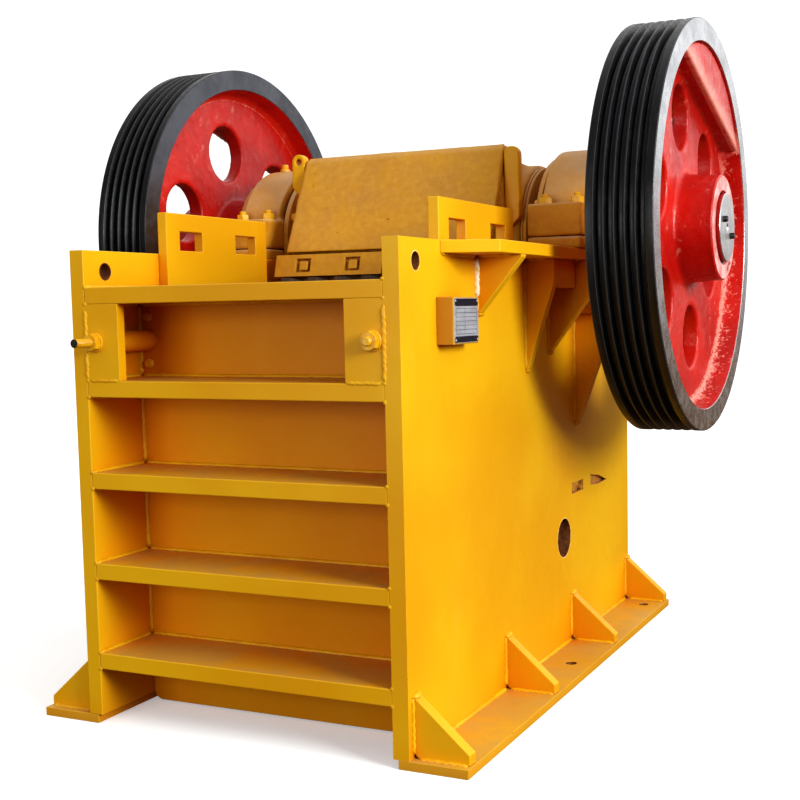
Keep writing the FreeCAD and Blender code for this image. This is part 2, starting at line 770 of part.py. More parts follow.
# ---- swing jaw ----------------------------------------------------------------------
jaw_slope = (jaw_lip[0] - jaw_foot[0]) / (jaw_lip[1] - jaw_foot[1])
plate_depth = (jaw_plate_thickness + tooth_height) * math.hypot(1, jaw_slope)
face_foot = (jaw_foot[0] + plate_depth - jaw_slope * slab_below_plate,
             jaw_foot[1] - slab_below_plate)
face_top = (jaw_lip[0] + plate_depth + jaw_slope * slab_above_plate,
            jaw_lip[1] + slab_above_plate)
slab_back = (jaw_seat_y - toggle_seat_radius - jaw_toe_wall, jaw_toe_bottom)
slab_high = (hub_y - slab_hub_inset, hub_z - slab_hub_drop)
toe_low = (jaw_seat_y + jaw_toe_reach, jaw_toe_bottom)
toe_high = (jaw_seat_y + jaw_toe_reach, jaw_toe_top)
head_rear_y = hub_y - head_rear_inset
jaw_body = side_profile(
    [face_foot, face_top, (head_rear_y, hub_z), slab_high, slab_back],
    -jaw_half_width, jaw_half_width)
jaw_hub = rod(-jaw_hub_half_length, jaw_hub_half_length, hub_y, hub_z, jaw_hub_radius)
head = side_profile(
    [(face_top[0] - guard_thickness, face_top[1]), guard_low, guard_high, guard_back, head_back,
     head_shoulder, (head_rear_y, hub_z + jaw_hub_radius - head_into_hub),
     (head_rear_y, face_top[1])],
    -guard_half_width_bottom, guard_half_width_bottom)
side_taper = cross_profile(
    [(guard_half_width_top, guard_back[1] + 1), (guard_half_width_bottom, guard_low[1]),
     (guard_half_width_bottom + 50, guard_low[1]),
     (guard_half_width_bottom + 50, guard_back[1] + 1)],
    0, frame_length)
head = head.cut(side_taper).cut(mirrored(side_taper))
jaw_body = jaw_body.fuse(head).fuse(jaw_hub)
toe = side_profile(
    [slab_back, toe_low, toe_high, (jaw_seat_y - jaw_toe_depth, jaw_toe_top)],
    -jaw_half_width, jaw_half_width)
jaw_body = jaw_body.fuse(toe)
jaw_body = jaw_body.cut(
    rod(-jaw_half_width - 1, jaw_half_width + 1, toe_low[0], jaw_seat_z,
        toggle_seat_radius + toggle_socket_gap))
journal_bore = rod(-400, 400, hub_y, hub_z, throw_journal_radius + running_clearance)
jaw_body = jaw_body.cut(journal_bore).removeSplitter()

# Four ribs stiffen the back of the jaw, between its toe and its hub.
rib_outline = [
    slab_back, toe_low, toe_high, (hub_y + rib_hub_reach, hub_z - rib_hub_drop),
    (hub_y, hub_z), slab_high]
rib_xs = (-jaw_half_width, -jaw_inner_rib_x - jaw_rib_thickness / 2,
          jaw_inner_rib_x - jaw_rib_thickness / 2,
          jaw_half_width - jaw_rib_thickness)
jaw_ribs = []
for rib_x in rib_xs:
    jaw_rib = side_profile(rib_outline, rib_x, rib_x + jaw_rib_thickness)
    parts_clear_of_jaw = jaw_rib.cut(jaw_body).cut(journal_bore).Solids
    jaw_ribs.append(max(parts_clear_of_jaw, key=lambda solid: solid.Volume))
save("jaw_back_ribs", jaw_ribs)

# A lifting lug with a round eye stands on the left side of the head.  The right one is
# a lower, longer strip with no eye.
lug_inner_x = guard_half_width_top
lug_middle_x = lug_inner_x + lug_width / 2
lug_rear = lug_front + lug_thickness


def lifting_lug(middle_height, root_height):
    """A strip with a round top on the right side of the head, clear of the head."""
    taper_end = root_height + lug_taper_height
    strip = box(lug_inner_x, lug_inner_x + lug_width, lug_front, lug_rear, taper_end,
                middle_height)
    strip = strip.fuse(rod_y(lug_middle_x, lug_front, lug_rear, middle_height, lug_width / 2))
    strip = strip.fuse(
        cross_profile(
            [(lug_inner_x, taper_end), (lug_inner_x, root_height),
             (lug_inner_x + lug_foot, root_height), (lug_inner_x + lug_width, taper_end)],
            lug_front, lug_rear))
    return strip.removeSplitter().cut(head).cut(jaw_hub)


lug_eye = rod_y(lug_middle_x, lug_front - 1, lug_rear + 1, lug_eye_height, lug_eye_radius)
left_lug = lifting_lug(lug_eye_height, lug_root_height).cut(lug_eye)
right_lug = lifting_lug(right_lug_height, right_lug_root_height)

# The guard covers the sloping front of the head.
guard = side_profile(
    [guard_low, guard_high, guard_back,
     (guard_back[0], guard_back[1] - guard_thickness),
     (guard_low[0] + guard_thickness, guard_low[1])],
    -guard_half_width_bottom, guard_half_width_bottom)
guard = guard.cut(side_taper).cut(mirrored(side_taper))
jaw_body = jaw_body.cut(guard)
save("jaw_lifting_lugs", [right_lug.cut(guard), mirrored(left_lug.cut(guard))])

# Two clamping bars hold the top edge of the moving jaw plate.
bar_outline = [clamp_low, clamp_high, (clamp_high[0] + clamp_bar_depth, clamp_high[1]),
               (clamp_low[0] + clamp_bar_depth, clamp_low[1])]
bar = side_profile(bar_outline, clamp_gap / 2, jaw_half_width)
lean = math.degrees(math.atan2(clamp_high[0] - clamp_low[0], clamp_high[1] - clamp_low[1]))
pocket_z = (clamp_low[1] + clamp_high[1]) / 2
pocket_y = (clamp_low[0] + clamp_high[0]) / 2
heads = []
for head_x in (clamp_gap / 2 + clamp_pocket_from_end, jaw_half_width - clamp_pocket_from_end):
    pocket = box(head_x - clamp_pocket_length / 2, head_x + clamp_pocket_length / 2,
                 pocket_y - 20, pocket_y + clamp_pocket_depth,
                 pocket_z - clamp_pocket_height / 2, pocket_z + clamp_pocket_height / 2)
    pocket.rotate(FreeCAD.Vector(0, pocket_y, pocket_z), FreeCAD.Vector(1, 0, 0), -lean)
    bar = bar.cut(pocket)
    head = box(head_x - clamp_head_side / 2, head_x + clamp_head_side / 2,
               pocket_y + clamp_head_recess, pocket_y + clamp_pocket_depth,
               pocket_z - clamp_head_side / 2, pocket_z + clamp_head_side / 2)
    head.rotate(FreeCAD.Vector(0, pocket_y, pocket_z), FreeCAD.Vector(1, 0, 0), -lean)
    heads.append(head)
jaw_body = jaw_body.cut(bar).cut(mirrored(bar))
save("jaw_guard", [guard])
save("jaw_clamp_bars", both_sides([bar]))
save("jaw_clamp_bolts", both_sides(heads))

# The moving jaw plate leans with the face of the jaw.
jaw_length = math.hypot(jaw_lip[0] - jaw_foot[0], jaw_lip[1] - jaw_foot[1])
outline = toothed_outline(jaw_plate_thickness + tooth_height, 0.0, jaw_half_width)
moving_jaw = plan_profile(outline, 0, jaw_length)
moving_jaw.rotate(FreeCAD.Vector(0, 0, 0), FreeCAD.Vector(1, 0, 0),
                  -math.degrees(math.atan(jaw_slope)))
moving_jaw.translate(FreeCAD.Vector(0, jaw_foot[0], jaw_foot[1]))
moving_jaw = moving_jaw.cut(bar).cut(mirrored(bar))
jaw_body = jaw_body.cut(moving_jaw)
save("moving_jaw_plate", [moving_jaw])
save("swing_jaw", [jaw_body])

ring = rod(jaw_hub_half_length, jaw_hub_half_length + ring_thickness, hub_y, hub_z,
           ring_radius)
ring = ring.cut(
    rod(jaw_hub_half_length - 1, jaw_hub_half_length + ring_thickness + 1, hub_y, hub_z,
        ring_bore_radius))
save("jaw_seal_rings", both_sides([ring]))
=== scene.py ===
import bmesh
import bpy
import math
from mathutils import Matrix, Vector, noise


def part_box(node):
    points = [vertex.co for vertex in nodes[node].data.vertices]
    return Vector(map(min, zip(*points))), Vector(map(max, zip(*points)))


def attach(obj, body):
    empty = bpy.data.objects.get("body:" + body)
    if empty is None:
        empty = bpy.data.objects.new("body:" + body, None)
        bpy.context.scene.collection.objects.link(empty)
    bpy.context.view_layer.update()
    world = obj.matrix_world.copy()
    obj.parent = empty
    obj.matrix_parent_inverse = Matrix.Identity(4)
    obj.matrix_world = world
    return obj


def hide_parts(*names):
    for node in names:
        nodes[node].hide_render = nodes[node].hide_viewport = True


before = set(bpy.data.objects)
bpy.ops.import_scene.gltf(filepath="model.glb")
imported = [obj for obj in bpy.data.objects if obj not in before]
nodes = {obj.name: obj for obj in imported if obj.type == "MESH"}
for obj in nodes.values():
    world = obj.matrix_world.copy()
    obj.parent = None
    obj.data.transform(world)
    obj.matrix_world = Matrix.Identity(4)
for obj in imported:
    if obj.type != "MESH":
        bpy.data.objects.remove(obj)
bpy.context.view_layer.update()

# ---- Side plates -------------------------------------------------------------------------
# Two thick rolled plates carry the whole machine.  They are flame cut to shape,
# ground along the edges and sprayed with yellow enamel once all is welded.
bright_yellow = (0.800, 0.440, 0.007, 1.0)
deep_yellow = (0.730, 0.345, 0.004, 1.0)
thin_yellow = (0.930, 0.540, 0.050, 1.0)
# The deep orange that painted shade turns the enamel towards in recesses.
recess_shade_orange = (0.740, 0.215, 0.001, 1.0)
# Dark brown for grime, and for painted shade in inside corners.
grime_and_shade_brown = (0.240, 0.068, 0.004, 1.0)
chipped_primer = (0.160, 0.060, 0.022, 1.0)
settled_dust = (0.560, 0.330, 0.090, 1.0)


class Finish:
    """A surface finish, built up node by node over the piece's own coordinates."""

    def __init__(self, name, world=None):
        """An empty material with its colour, roughness and relief still to come."""
        self.material = world or bpy.data.materials.new(name)
        self.material.use_nodes = True
        self.tree = self.material.node_tree
        self.tree.nodes.clear()
        self.place = self.add("ShaderNodeTexCoord").outputs["Object"]

    def add(self, kind, inputs=None, **settings):
        """A node with these settings, its inputs linked to sockets or set to values."""
        made = self.tree.nodes.new(kind)
        for key, value in settings.items():
            setattr(made, key, value)
        for key, value in (inputs or {}).items():
            if isinstance(value, bpy.types.NodeSocket):
                self.tree.links.new(value, made.inputs[key])
            else:
                made.inputs[key].default_value = value
        return made

    def cloud(self, scale, detail=3.0, rough=0.55, stretch=(1.0, 1.0, 1.0)):
        """Soft noise from 0 to 1, with scale bumps to the metre."""
        spot = self.add("ShaderNodeMapping", {"Vector": self.place, "Scale": stretch})
        return self.add("ShaderNodeTexNoise", {
            "Vector": spot.outputs[0], "Scale": scale, "Detail": detail,
            "Roughness": rough}).outputs["Fac"]

    def step(self, source, low, high, least=0.0, most=1.0):
        """A smooth step from least, at low, to most, at high."""
        return self.add("ShaderNodeMapRange", {
            "Value": source, "From Min": low, "From Max": high, "To Min": least,
            "To Max": most}, interpolation_type="SMOOTHSTEP").outputs[0]

    def sum(self, operation, first, second):
        """One piece of arithmetic on two values."""
        return self.add("ShaderNodeMath", {0: first, 1: second}, operation=operation).outputs[0]

    def blend(self, share, first, second):
        """The first colour, going over to the second as share goes from 0 to 1."""
        return self.add("ShaderNodeMix", {0: share, 6: first, 7: second},
                        data_type="RGBA").outputs[2]

    def corners(self, reach):
        """1 in inside corners that dirt and shade collect in, 0 in the open."""
        open_share = self.add("ShaderNodeAmbientOcclusion", {"Distance": reach}, samples=6)
        return self.sum("SUBTRACT", 1.0, open_share.outputs["AO"])

    def edges(self, radius):
        """1 on outside edges, 0 on the flat."""
        rounded = self.add("ShaderNodeBevel", {"Radius": radius}, samples=4).outputs[0]
        flat = self.add("ShaderNodeNewGeometry").outputs["Normal"]
        both = self.add("ShaderNodeVectorMath", {0: rounded, 1: flat}, operation="DOT_PRODUCT")
        return self.step(both.outputs["Value"], 0.995, 0.90)

    def relief(self, height, distance, under=None):
        """Fine relief of this depth in metres, over another relief if one is given."""
        inputs = {"Height": height, "Distance": distance, "Strength": 1.0}
        if under is not None:
            inputs["Normal"] = under
        return self.add("ShaderNodeBump", inputs).outputs[0]

    def close(self, colour, roughness, normal=None, **numbers):
        """Ends the finish in a shader with these inputs."""
        inputs = {"Base Color": colour, "Roughness": roughness}
        if normal is not None:
            inputs["Normal"] = normal
        shader = self.add("ShaderNodeBsdfPrincipled", inputs)
        for key, value in numbers.items():
            shader.inputs[key.replace("_", " ").title().replace("Ior", "IOR")].default_value = value
        end = self.add("ShaderNodeOutputMaterial")
        self.tree.links.new(shader.outputs[0], end.inputs["Surface"])
        return self.material


def yellow_enamel(name, first=bright_yellow, second=deep_yellow, dusty=0.70):
    """Sprayed enamel on plate: slow drift in colour, orange peel, thin at the edges, painted deep
    orange shade in recesses, and grime with painted shade in inside corners.
    """
    paint = Finish(name)
    drift = paint.step(paint.cloud(1.7, 2.0), 0.35, 0.65)
    colour = paint.blend(drift, first, second)
    runs = paint.step(paint.cloud(7.0, 4.0, 0.6, (1.0, 1.0, 0.22)), 0.55, 0.85, 0.0, 0.22)
    colour = paint.blend(runs, colour, thin_yellow)
    # Painted shade: the enamel goes deep orange where the open is blocked within 0.22 m.
    recess_shade = paint.step(paint.corners(0.22), 0.25, 0.85, 0.0, 0.85)
    colour = paint.blend(recess_shade, colour, recess_shade_orange)
    # Grime and painted shade: dark brown in patches in inside corners.
    grime_and_shade_patch = paint.step(paint.cloud(14.0, 4.0), 0.30, 0.70, 0.35, 1.0)
    grime_and_corner_shade = paint.sum("MULTIPLY", paint.step(paint.corners(0.035), 0.30, 0.95, 0.0, 0.75),
                     grime_and_shade_patch)
    colour = paint.blend(grime_and_corner_shade, colour, grime_and_shade_brown)
    facing = paint.add("ShaderNodeNewGeometry").outputs["Normal"]
    level = paint.add("ShaderNodeSeparateXYZ", {0: facing}).outputs["Z"]
    dust = paint.sum("MULTIPLY", paint.step(level, 0.75, 0.98),
                     paint.step(paint.cloud(8.0, 5.0, 0.65), 0.32, 0.62, 0.15 * dusty, dusty))
    colour = paint.blend(dust, colour, settled_dust)
    edge = paint.edges(0.0035)
    rubbed = paint.step(paint.cloud(30.0, 3.0), 0.35, 0.75, 0.15, 0.8)
    colour = paint.blend(paint.sum("MULTIPLY", edge, rubbed), colour, thin_yellow)
    nicks = paint.step(paint.cloud(95.0, 2.0, 0.5), 0.70, 0.74)
    colour = paint.blend(paint.sum("MULTIPLY", edge, nicks), colour, chipped_primer)
    specks = paint.step(paint.cloud(210.0, 2.0, 0.4), 0.775, 0.80, 0.0, 0.55)
    colour = paint.blend(specks, colour, chipped_primer)
    rough = paint.step(paint.cloud(24.0, 3.0), 0.30, 0.75, 0.34, 0.47)
    wavy = paint.relief(paint.cloud(6.0, 2.0), 0.0012)
    skin = paint.relief(paint.cloud(240.0, 2.0, 0.5), 0.00014, wavy)
    return paint.close(colour, rough, skin, specular_ior_level=0.20)


plate_enamel = yellow_enamel("plate_enamel")


def paint_node(name, material):
    """Gives a carried-over node this finish."""
    for place in nodes[name].material_slots:
        place.material = material


def bevel_corners(piece, width, segments, angle):
    """Rounds every edge of a piece that is sharper than this angle in degrees."""
    bevel = piece.modifiers.new("ground_edges", "BEVEL")
    bevel.width = width
    bevel.segments = segments
    bevel.limit_method = "ANGLE"
    bevel.angle_limit = math.radians(angle)
    bevel.use_clamp_overlap = True


def ground_edges(name, material, width, segments=2):
    """A node whose shape stays, with its sharp edges ground off and its finish on."""
    plate = nodes[name]
    paint_node(name, material)
    plate.modifiers.new("joined_corners", "WELD").merge_threshold = 0.00001
    flats = plate.modifiers.new("whole_faces", "DECIMATE")
    flats.decimate_type = "DISSOLVE"
    flats.angle_limit = math.radians(0.4)
    bevel_corners(plate, width, segments, 40)


for node_name in ("side_plate_right", "side_plate_left"):
    ground_edges(node_name, plate_enamel, 0.0018)

plate_low, plate_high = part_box("side_plate_right")
plate_in = plate_low.x
plate_out = plate_high.x
plate_front = plate_low.y
plate_top = plate_high.z
sides = (1, -1)


def finished_piece(name, mesh, material, body, crease=38.0):
    """Makes an object of a finished mesh, sharp at its creases, and says what it rides on."""
    bmesh.ops.recalc_face_normals(mesh, faces=mesh.faces)
    data = bpy.data.meshes.new(name)
    for face in mesh.faces:
        face.smooth = True
    for edge in mesh.edges:
        edge.smooth = len(edge.link_faces) != 2 or edge.calc_face_angle() < math.radians(crease)
    mesh.to_mesh(data)
    mesh.free()
    piece = bpy.data.objects.new(name, data)
    bpy.context.scene.collection.objects.link(piece)
    data.materials.append(material)
    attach(piece, body)
    return piece


def solid_boxes(name):
    """(lowest, highest) corner of each separate solid in a node, from front to rear."""
    mesh = bmesh.new()
    mesh.from_mesh(nodes[name].data)
    bmesh.ops.remove_doubles(mesh, verts=mesh.verts, dist=0.00001)
    seen = set()
    boxes = []
    for first in mesh.verts:
        if first in seen:
            continue
        seen.add(first)
        group = [first]
        for corner in group:
            for edge in corner.link_edges:
                other = edge.other_vert(corner)
                if other not in seen:
                    seen.add(other)
                    group.append(other)
        low = Vector(min(c.co[i] for c in group) for i in range(3))
        high = Vector(max(c.co[i] for c in group) for i in range(3))
        boxes.append((low, high))
    mesh.free()
    return sorted(boxes, key=lambda ends: (round(ends[0].y, 3), round(ends[0].z, 3), ends[0].x))


# ---- Slot and arrow marks in the side plates ---------------------------------------------
# A slot through each plate takes the end of the toggle block, and an arrow beside it
# is milled into the plate.  Both are bare red-brown primer inside, with a bolt end.
slot_from_front = 1.034
slot_length = 0.100
slot_height = 0.031
slot_middle = 0.444
arrow_front = 1.200
arrow_length = 0.156
arrow_half = 0.016
arrow_drop = 0.019
pocket_depth = 0.012
lining = 0.0012
slot_depth = 0.013
nub_radius = 0.009
arrow_above_slot = 0.004
arrow_belly = 0.0025
cut_back = 0.0006


def bare_primer(name):
    """Thin dry paint over brown primer, dark in the corners with painted shade."""
    coat = Finish(name)
    patch = coat.step(coat.cloud(60.0, 4.0), 0.35, 0.65)
    colour = coat.blend(patch, (0.430, 0.170, 0.020, 1.0), (0.620, 0.290, 0.030, 1.0))
    # Painted shade: the primer goes dark in the pocket's corners.
    grime_and_corner_shade = coat.step(coat.corners(0.012), 0.35, 0.90, 0.0, 0.85)
    colour = coat.blend(grime_and_corner_shade, colour, (0.090, 0.030, 0.012, 1.0))
    skin = coat.relief(coat.cloud(400.0, 3.0), 0.0004)
    return coat.close(colour, 0.72, skin)


pocket_primer = bare_primer("pocket_primer")


def join_rings(mesh, rings, closed=False):
    """Walls from each ring of corners to the next, then two lids or a wall back to the first.

    Returns the walls' faces, one list for each pair of rings.
    """
    walls = []
    following = rings[1:] + rings[:1] if closed else rings[1:]
    for low, high in zip(rings, following):
        wall = []
        for i in range(len(low)):
            j = (i + 1) % len(low)
            wall.append(mesh.faces.new([low[i], low[j], high[j], high[i]]))
        walls.append(wall)
    if not closed:
        mesh.faces.new(rings[0])
        mesh.faces.new(list(reversed(rings[-1])))
    return walls


def add_panel(mesh, outline, first_x, second_x):
    """A flat panel with a closed (y, z) outline, from one x to the other."""
    join_rings(mesh, [[mesh.verts.new((x, y, z)) for y, z in outline]
                      for x in (first_x, second_x)])


def ring_walls(mesh, outline, first_x, second_x):
    """Walls of a pocket along a closed (y, z) outline, as thin closed slabs."""
    for i, (y0, z0) in enumerate(outline):
        y1, z1 = outline[(i + 1) % len(outline)]
        along = Vector((0, y1 - y0, z1 - z0)).normalized()
        inward = Vector((0, -along.z, along.y)) * lining
        corners = []
        for x in (first_x, second_x):
            for shift in (Vector((0, 0, 0)), inward):
                corners.append(mesh.verts.new(Vector((x, y0, z0)) + shift))
                corners.append(mesh.verts.new(Vector((x, y1, z1)) + shift))
        for a, b, c, d in ((0, 1, 3, 2), (4, 6, 7, 5), (0, 4, 5, 1), (2, 3, 7, 6),
                           (0, 2, 6, 4), (1, 5, 7, 3)):
            mesh.faces.new([corners[a], corners[b], corners[c], corners[d]])


for side in sides:
    hand = "right" if side > 0 else "left"
    mesh = bmesh.new()
    slot_y = plate_front + slot_from_front
    slot_end = slot_y + slot_length
    slot_base = slot_middle - slot_height / 2
    slot_outline = [(slot_y, slot_base), (slot_end, slot_base),
                    (slot_end, slot_base + slot_height), (slot_y, slot_base + slot_height)]
    ring_walls(mesh, slot_outline, side * (plate_in + 0.001), side * (plate_out - cut_back))
    arrow_y = plate_front + arrow_front
    arrow_middle = slot_middle + arrow_above_slot
    arrow_outline = [
        (arrow_y, arrow_middle - arrow_half),
        (arrow_y + arrow_length / 2, arrow_middle - arrow_half - arrow_drop / 2 + arrow_belly),
        (arrow_y + arrow_length, arrow_middle - arrow_drop),
        (arrow_y + arrow_length / 2, arrow_middle + arrow_half - arrow_drop / 2 - arrow_belly),
        (arrow_y, arrow_middle + arrow_half)]
    floor_x = side * (plate_out - pocket_depth)
    ring_walls(mesh, arrow_outline, floor_x, side * (plate_out - cut_back))
    add_panel(mesh, arrow_outline, floor_x, floor_x + side * lining)
    back_x = side * (plate_out - slot_depth)
    add_panel(mesh, slot_outline, back_x, back_x - side * lining)
    nub_place = Matrix.Translation((back_x + side * slot_depth * 0.4, slot_end - nub_radius,
                                    slot_base + nub_radius))
    bmesh.ops.create_cone(
        mesh, cap_ends=True, segments=24, radius1=nub_radius, radius2=nub_radius * 0.86,
        depth=slot_depth * 0.8, matrix=nub_place @ Matrix.Rotation(math.radians(90 * side), 4, "Y"))
    finished_piece("slot_lining_" + hand, mesh, pocket_primer, "frame")


# The round holes were flame cut after painting, each with a pale lip; dark brown lines their bores
# as painted shade.
lifting_hole = (0.075, 1.052, 0.0200)
access_hole = (0.967, 0.317, 0.0540)
hole_lip = 0.0022


def hole_shade_finish(name):
    """Dark brown, mottled, painted inside a hole's bore as shade."""
    skin = Finish(name)
    patch = skin.step(skin.cloud(50.0, 4.0), 0.35, 0.65)
    colour = skin.blend(patch, (0.110, 0.030, 0.008, 1.0), (0.260, 0.085, 0.014, 1.0))
    return skin.close(colour, 0.75, skin.relief(skin.cloud(300.0, 3.0), 0.0004))


def pale_lip(name):
    """Thick pale paint on the lip of a cut hole."""
    coat = Finish(name)
    patch = coat.step(coat.cloud(90.0, 4.0), 0.40, 0.66)
    colour = coat.blend(patch, (0.930, 0.620, 0.210, 1.0), bright_yellow)
    return coat.close(colour, 0.50)


hole_shade = hole_shade_finish("painted_hole_shade")
lip_paint = pale_lip("pale_hole_lip")


def add_tube(mesh, start, end, first, second, inner, outer, upright=False):
    """A short closed tube along X about a (y, z) middle, or along Z about an (x, y) one."""
    rings = []
    for along, radius in ((start, inner), (start, outer), (end, outer), (end, inner)):
        ring = []
        for i in range(56):
            turn = 2 * math.pi * i / 56
            across = first + radius * math.cos(turn)
            over = second + radius * math.sin(turn)
            spot = (across, over, along) if upright else (along, across, over)
            ring.append(mesh.verts.new(spot))
        rings.append(ring)
    join_rings(mesh, rings, True)


for side in sides:
    hand = "right" if side > 0 else "left"
    linings = bmesh.new()
    lips = bmesh.new()
    for from_front, middle_z, radius in (lifting_hole, access_hole):
        middle_y = plate_front + from_front
        add_tube(linings, side * plate_in, side * (plate_out - 0.0008), middle_y, middle_z,
                 radius - lining, radius + 0.0004)
        add_tube(lips, side * (plate_out - 0.0010), side * (plate_out + 0.0005), middle_y,
                 middle_z, radius - 0.0004, radius + hole_lip)
    finished_piece("hole_linings_" + hand, linings, hole_shade, "frame")
    finished_piece("hole_lips_" + hand, lips, lip_paint, "frame")


# ---- Feet, their gussets and the weld beads ----------------------------------------------
# Each side plate stands on a flat foot with two bolt holes, and four small gussets
# stiffen the joint.  All of it is arc welded by hand and painted over the beads.
# The feet take a darker, browner copy of the frame's enamel: painted shade low down by the floor.
foot_yellow_in_shade = (0.720, 0.400, 0.030, 1.0)
foot_brown_in_shade = (0.640, 0.330, 0.018, 1.0)
foot_enamel_in_shade = yellow_enamel("foot_enamel_in_shade", foot_yellow_in_shade, foot_brown_in_shade)
ground_edges("foot_plates", foot_enamel_in_shade, 0.0018)
ground_edges("foot_gussets", plate_enamel, 0.0022)
bead_step = 0.0032
ripple_pitch = 0.0075
foot_leg = 0.0062
gusset_leg = 0.0052
bead_gap = 0.004


def painted_weld(name):
    """Thick enamel over a rippled bead, with dark pinholes and spatter."""
    paint = Finish(name)
    drift = paint.step(paint.cloud(22.0, 3.0), 0.35, 0.65)
    colour = paint.blend(drift, bright_yellow, deep_yellow)
    crest = paint.step(paint.cloud(120.0, 3.0), 0.52, 0.74, 0.0, 0.15)
    colour = paint.blend(crest, colour, thin_yellow)
    holes = paint.step(paint.cloud(170.0, 2.0), 0.72, 0.76, 0.0, 0.8)
    colour = paint.blend(holes, colour, grime_and_shade_brown)
    skin = paint.relief(paint.cloud(300.0, 3.0), 0.0003)
    return paint.close(colour, 0.40, skin, specular_ior_level=0.3)


weld_enamel = painted_weld("weld_enamel")


def lay_bead(mesh, start, end, leg_a, leg_b, sweep=90.0, weave=0.0007):
    """One rippled bead from start to end, between the tips of its two legs."""
    start = Vector(start)
    end = Vector(end)
    leg_a = Vector(leg_a)
    leg_b = Vector(leg_b)
    run = end - start
    length = run.length
    steps = max(4, int(length / bead_step))
    across = (leg_a - leg_b).normalized() if sweep < 100 else leg_a.normalized()
    root = (leg_a + leg_b) * -0.10 if sweep < 100 else leg_b * -0.25
    rings = []
    for i in range(steps + 1):
        way = length * i / steps
        spot = start + run * (i / steps)
        near_end = min(way, length - way)
        tip = min(1.0, math.sqrt(near_end / 0.008 + 0.10))
        wander = noise.noise(spot * 60.0)
        swell = 1.0 + 0.07 * math.sin(2 * math.pi * way / ripple_pitch) + 0.14 * wander
        swing = across * weave * math.sin(2 * math.pi * way / 0.016 + 4.0 * wander)
        ring = []
        for k in range(6):
            turn = math.radians(sweep) * k / 5
            out = leg_a * math.cos(turn) + leg_b * math.sin(turn)
            ring.append(mesh.verts.new(spot + swing + out * tip * swell))
        ring.append(mesh.verts.new(spot + root))
        rings.append(ring)
    join_rings(mesh, rings)


foot_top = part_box("foot_plates")[1].z
foot_boxes = solid_boxes("foot_gussets")
for side in sides:
    hand = "right" if side > 0 else "left"
    mesh = bmesh.new()
    out = Vector((side, 0, 0))
    up = Vector((0, 0, 1))
    joint = side * plate_out
    here = [ends for ends in foot_boxes if side * (ends[0].x + ends[1].x) > 0]
    y = plate_front + bead_gap
    for low, high in here:
        for face_y, away in ((low.y, -1), (high.y, 1)):
            fore = Vector((0, away, 0)) * gusset_leg
            lay_bead(mesh, (joint, face_y, foot_top + 0.010),
                     (joint, face_y, high.z - 0.001), out * gusset_leg, fore)
            reach = max(abs(low.x), abs(high.x)) - bead_gap
            lay_bead(mesh, (side * (plate_out + 0.013), face_y, foot_top),
                     (side * reach, face_y, foot_top), up * gusset_leg, fore)
        lay_bead(mesh, (joint, low.y - 0.003, high.z), (joint, high.y + 0.003, high.z),
                 out * 0.011, up * 0.009)
        if low.y - y > 0.02:
            lay_bead(mesh, (joint, y, foot_top), (joint, low.y - bead_gap, foot_top),
                     out * foot_leg, up * foot_leg)
        y = high.y + bead_gap
    finished_piece("foot_welds_" + hand, mesh, weld_enamel, "frame")

# The foot bolt holes were flame cut like the others, and lined with the same painted shade.
foot_bolt_x = 0.497
foot_bolt_half_spacing = 0.344
foot_bolt_radius = 0.015
linings = bmesh.new()
for side in sides:
    for way in (-1, 1):
        add_tube(linings, 0.0006, foot_top - 0.0008, side * foot_bolt_x,
                 way * foot_bolt_half_spacing, foot_bolt_radius - lining,
                 foot_bolt_radius + 0.0004, True)
finished_piece("foot_hole_linings", linings, hole_shade, "frame")


# ---- Front wall and its ribs -------------------------------------------------------------
# The wall behind the fixed jaw is one thick plate between the side plates.  Five
# flat ribs run across its front, welded to it and to the side plates all round.
ground_edges("front_wall", plate_enamel, 0.0018)
ground_edges("front_ribs", plate_enamel, 0.0022)
wall_low, wall_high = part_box("front_wall")
wall_front = wall_low.y
rib_boxes = sorted(solid_boxes("front_ribs"), key=lambda ends: ends[0].z)
rib_leg = 0.0062
end_plate_edge = 0.026
bead_reach = plate_in - 0.006

mesh = bmesh.new()
forward = Vector((0, -1, 0))
upward = Vector((0, 0, 1))
for level, (low, high) in enumerate(rib_boxes):
    start_y = plate_front + (end_plate_edge if level == len(rib_boxes) - 1 else 0.003)
    for side in sides:
        inward = Vector((-side, 0, 0)) * rib_leg
        x = side * plate_in
        top_start = plate_front + (end_plate_edge if level == len(rib_boxes) - 2 else 0.003)
        if level < len(rib_boxes) - 1:
            lay_bead(mesh, (x, top_start, high.z), (x, wall_front - 0.006, high.z),
                     inward, upward * rib_leg)
        else:
            lay_bead(mesh, (x, plate_front + 0.003, high.z), (x, wall_high.y, high.z),
                     inward, upward * rib_leg)
        lay_bead(mesh, (x, start_y, low.z), (x, wall_front - 0.006, low.z),
                 inward, upward * -rib_leg)
        if level > 0:
            below = rib_boxes[level - 1][1].z
            lay_bead(mesh, (x, wall_front, below + 0.006), (x, wall_front, low.z - 0.006),
                     inward, forward * rib_leg)
    if level < len(rib_boxes) - 1:
        lay_bead(mesh, (-bead_reach, wall_front, high.z), (bead_reach, wall_front, high.z),
                 forward * rib_leg, upward * rib_leg)
    lay_bead(mesh, (-bead_reach, wall_front, low.z), (bead_reach, wall_front, low.z),
             forward * rib_leg, upward * -rib_leg)
finished_piece("rib_welds", mesh, weld_enamel, "frame")

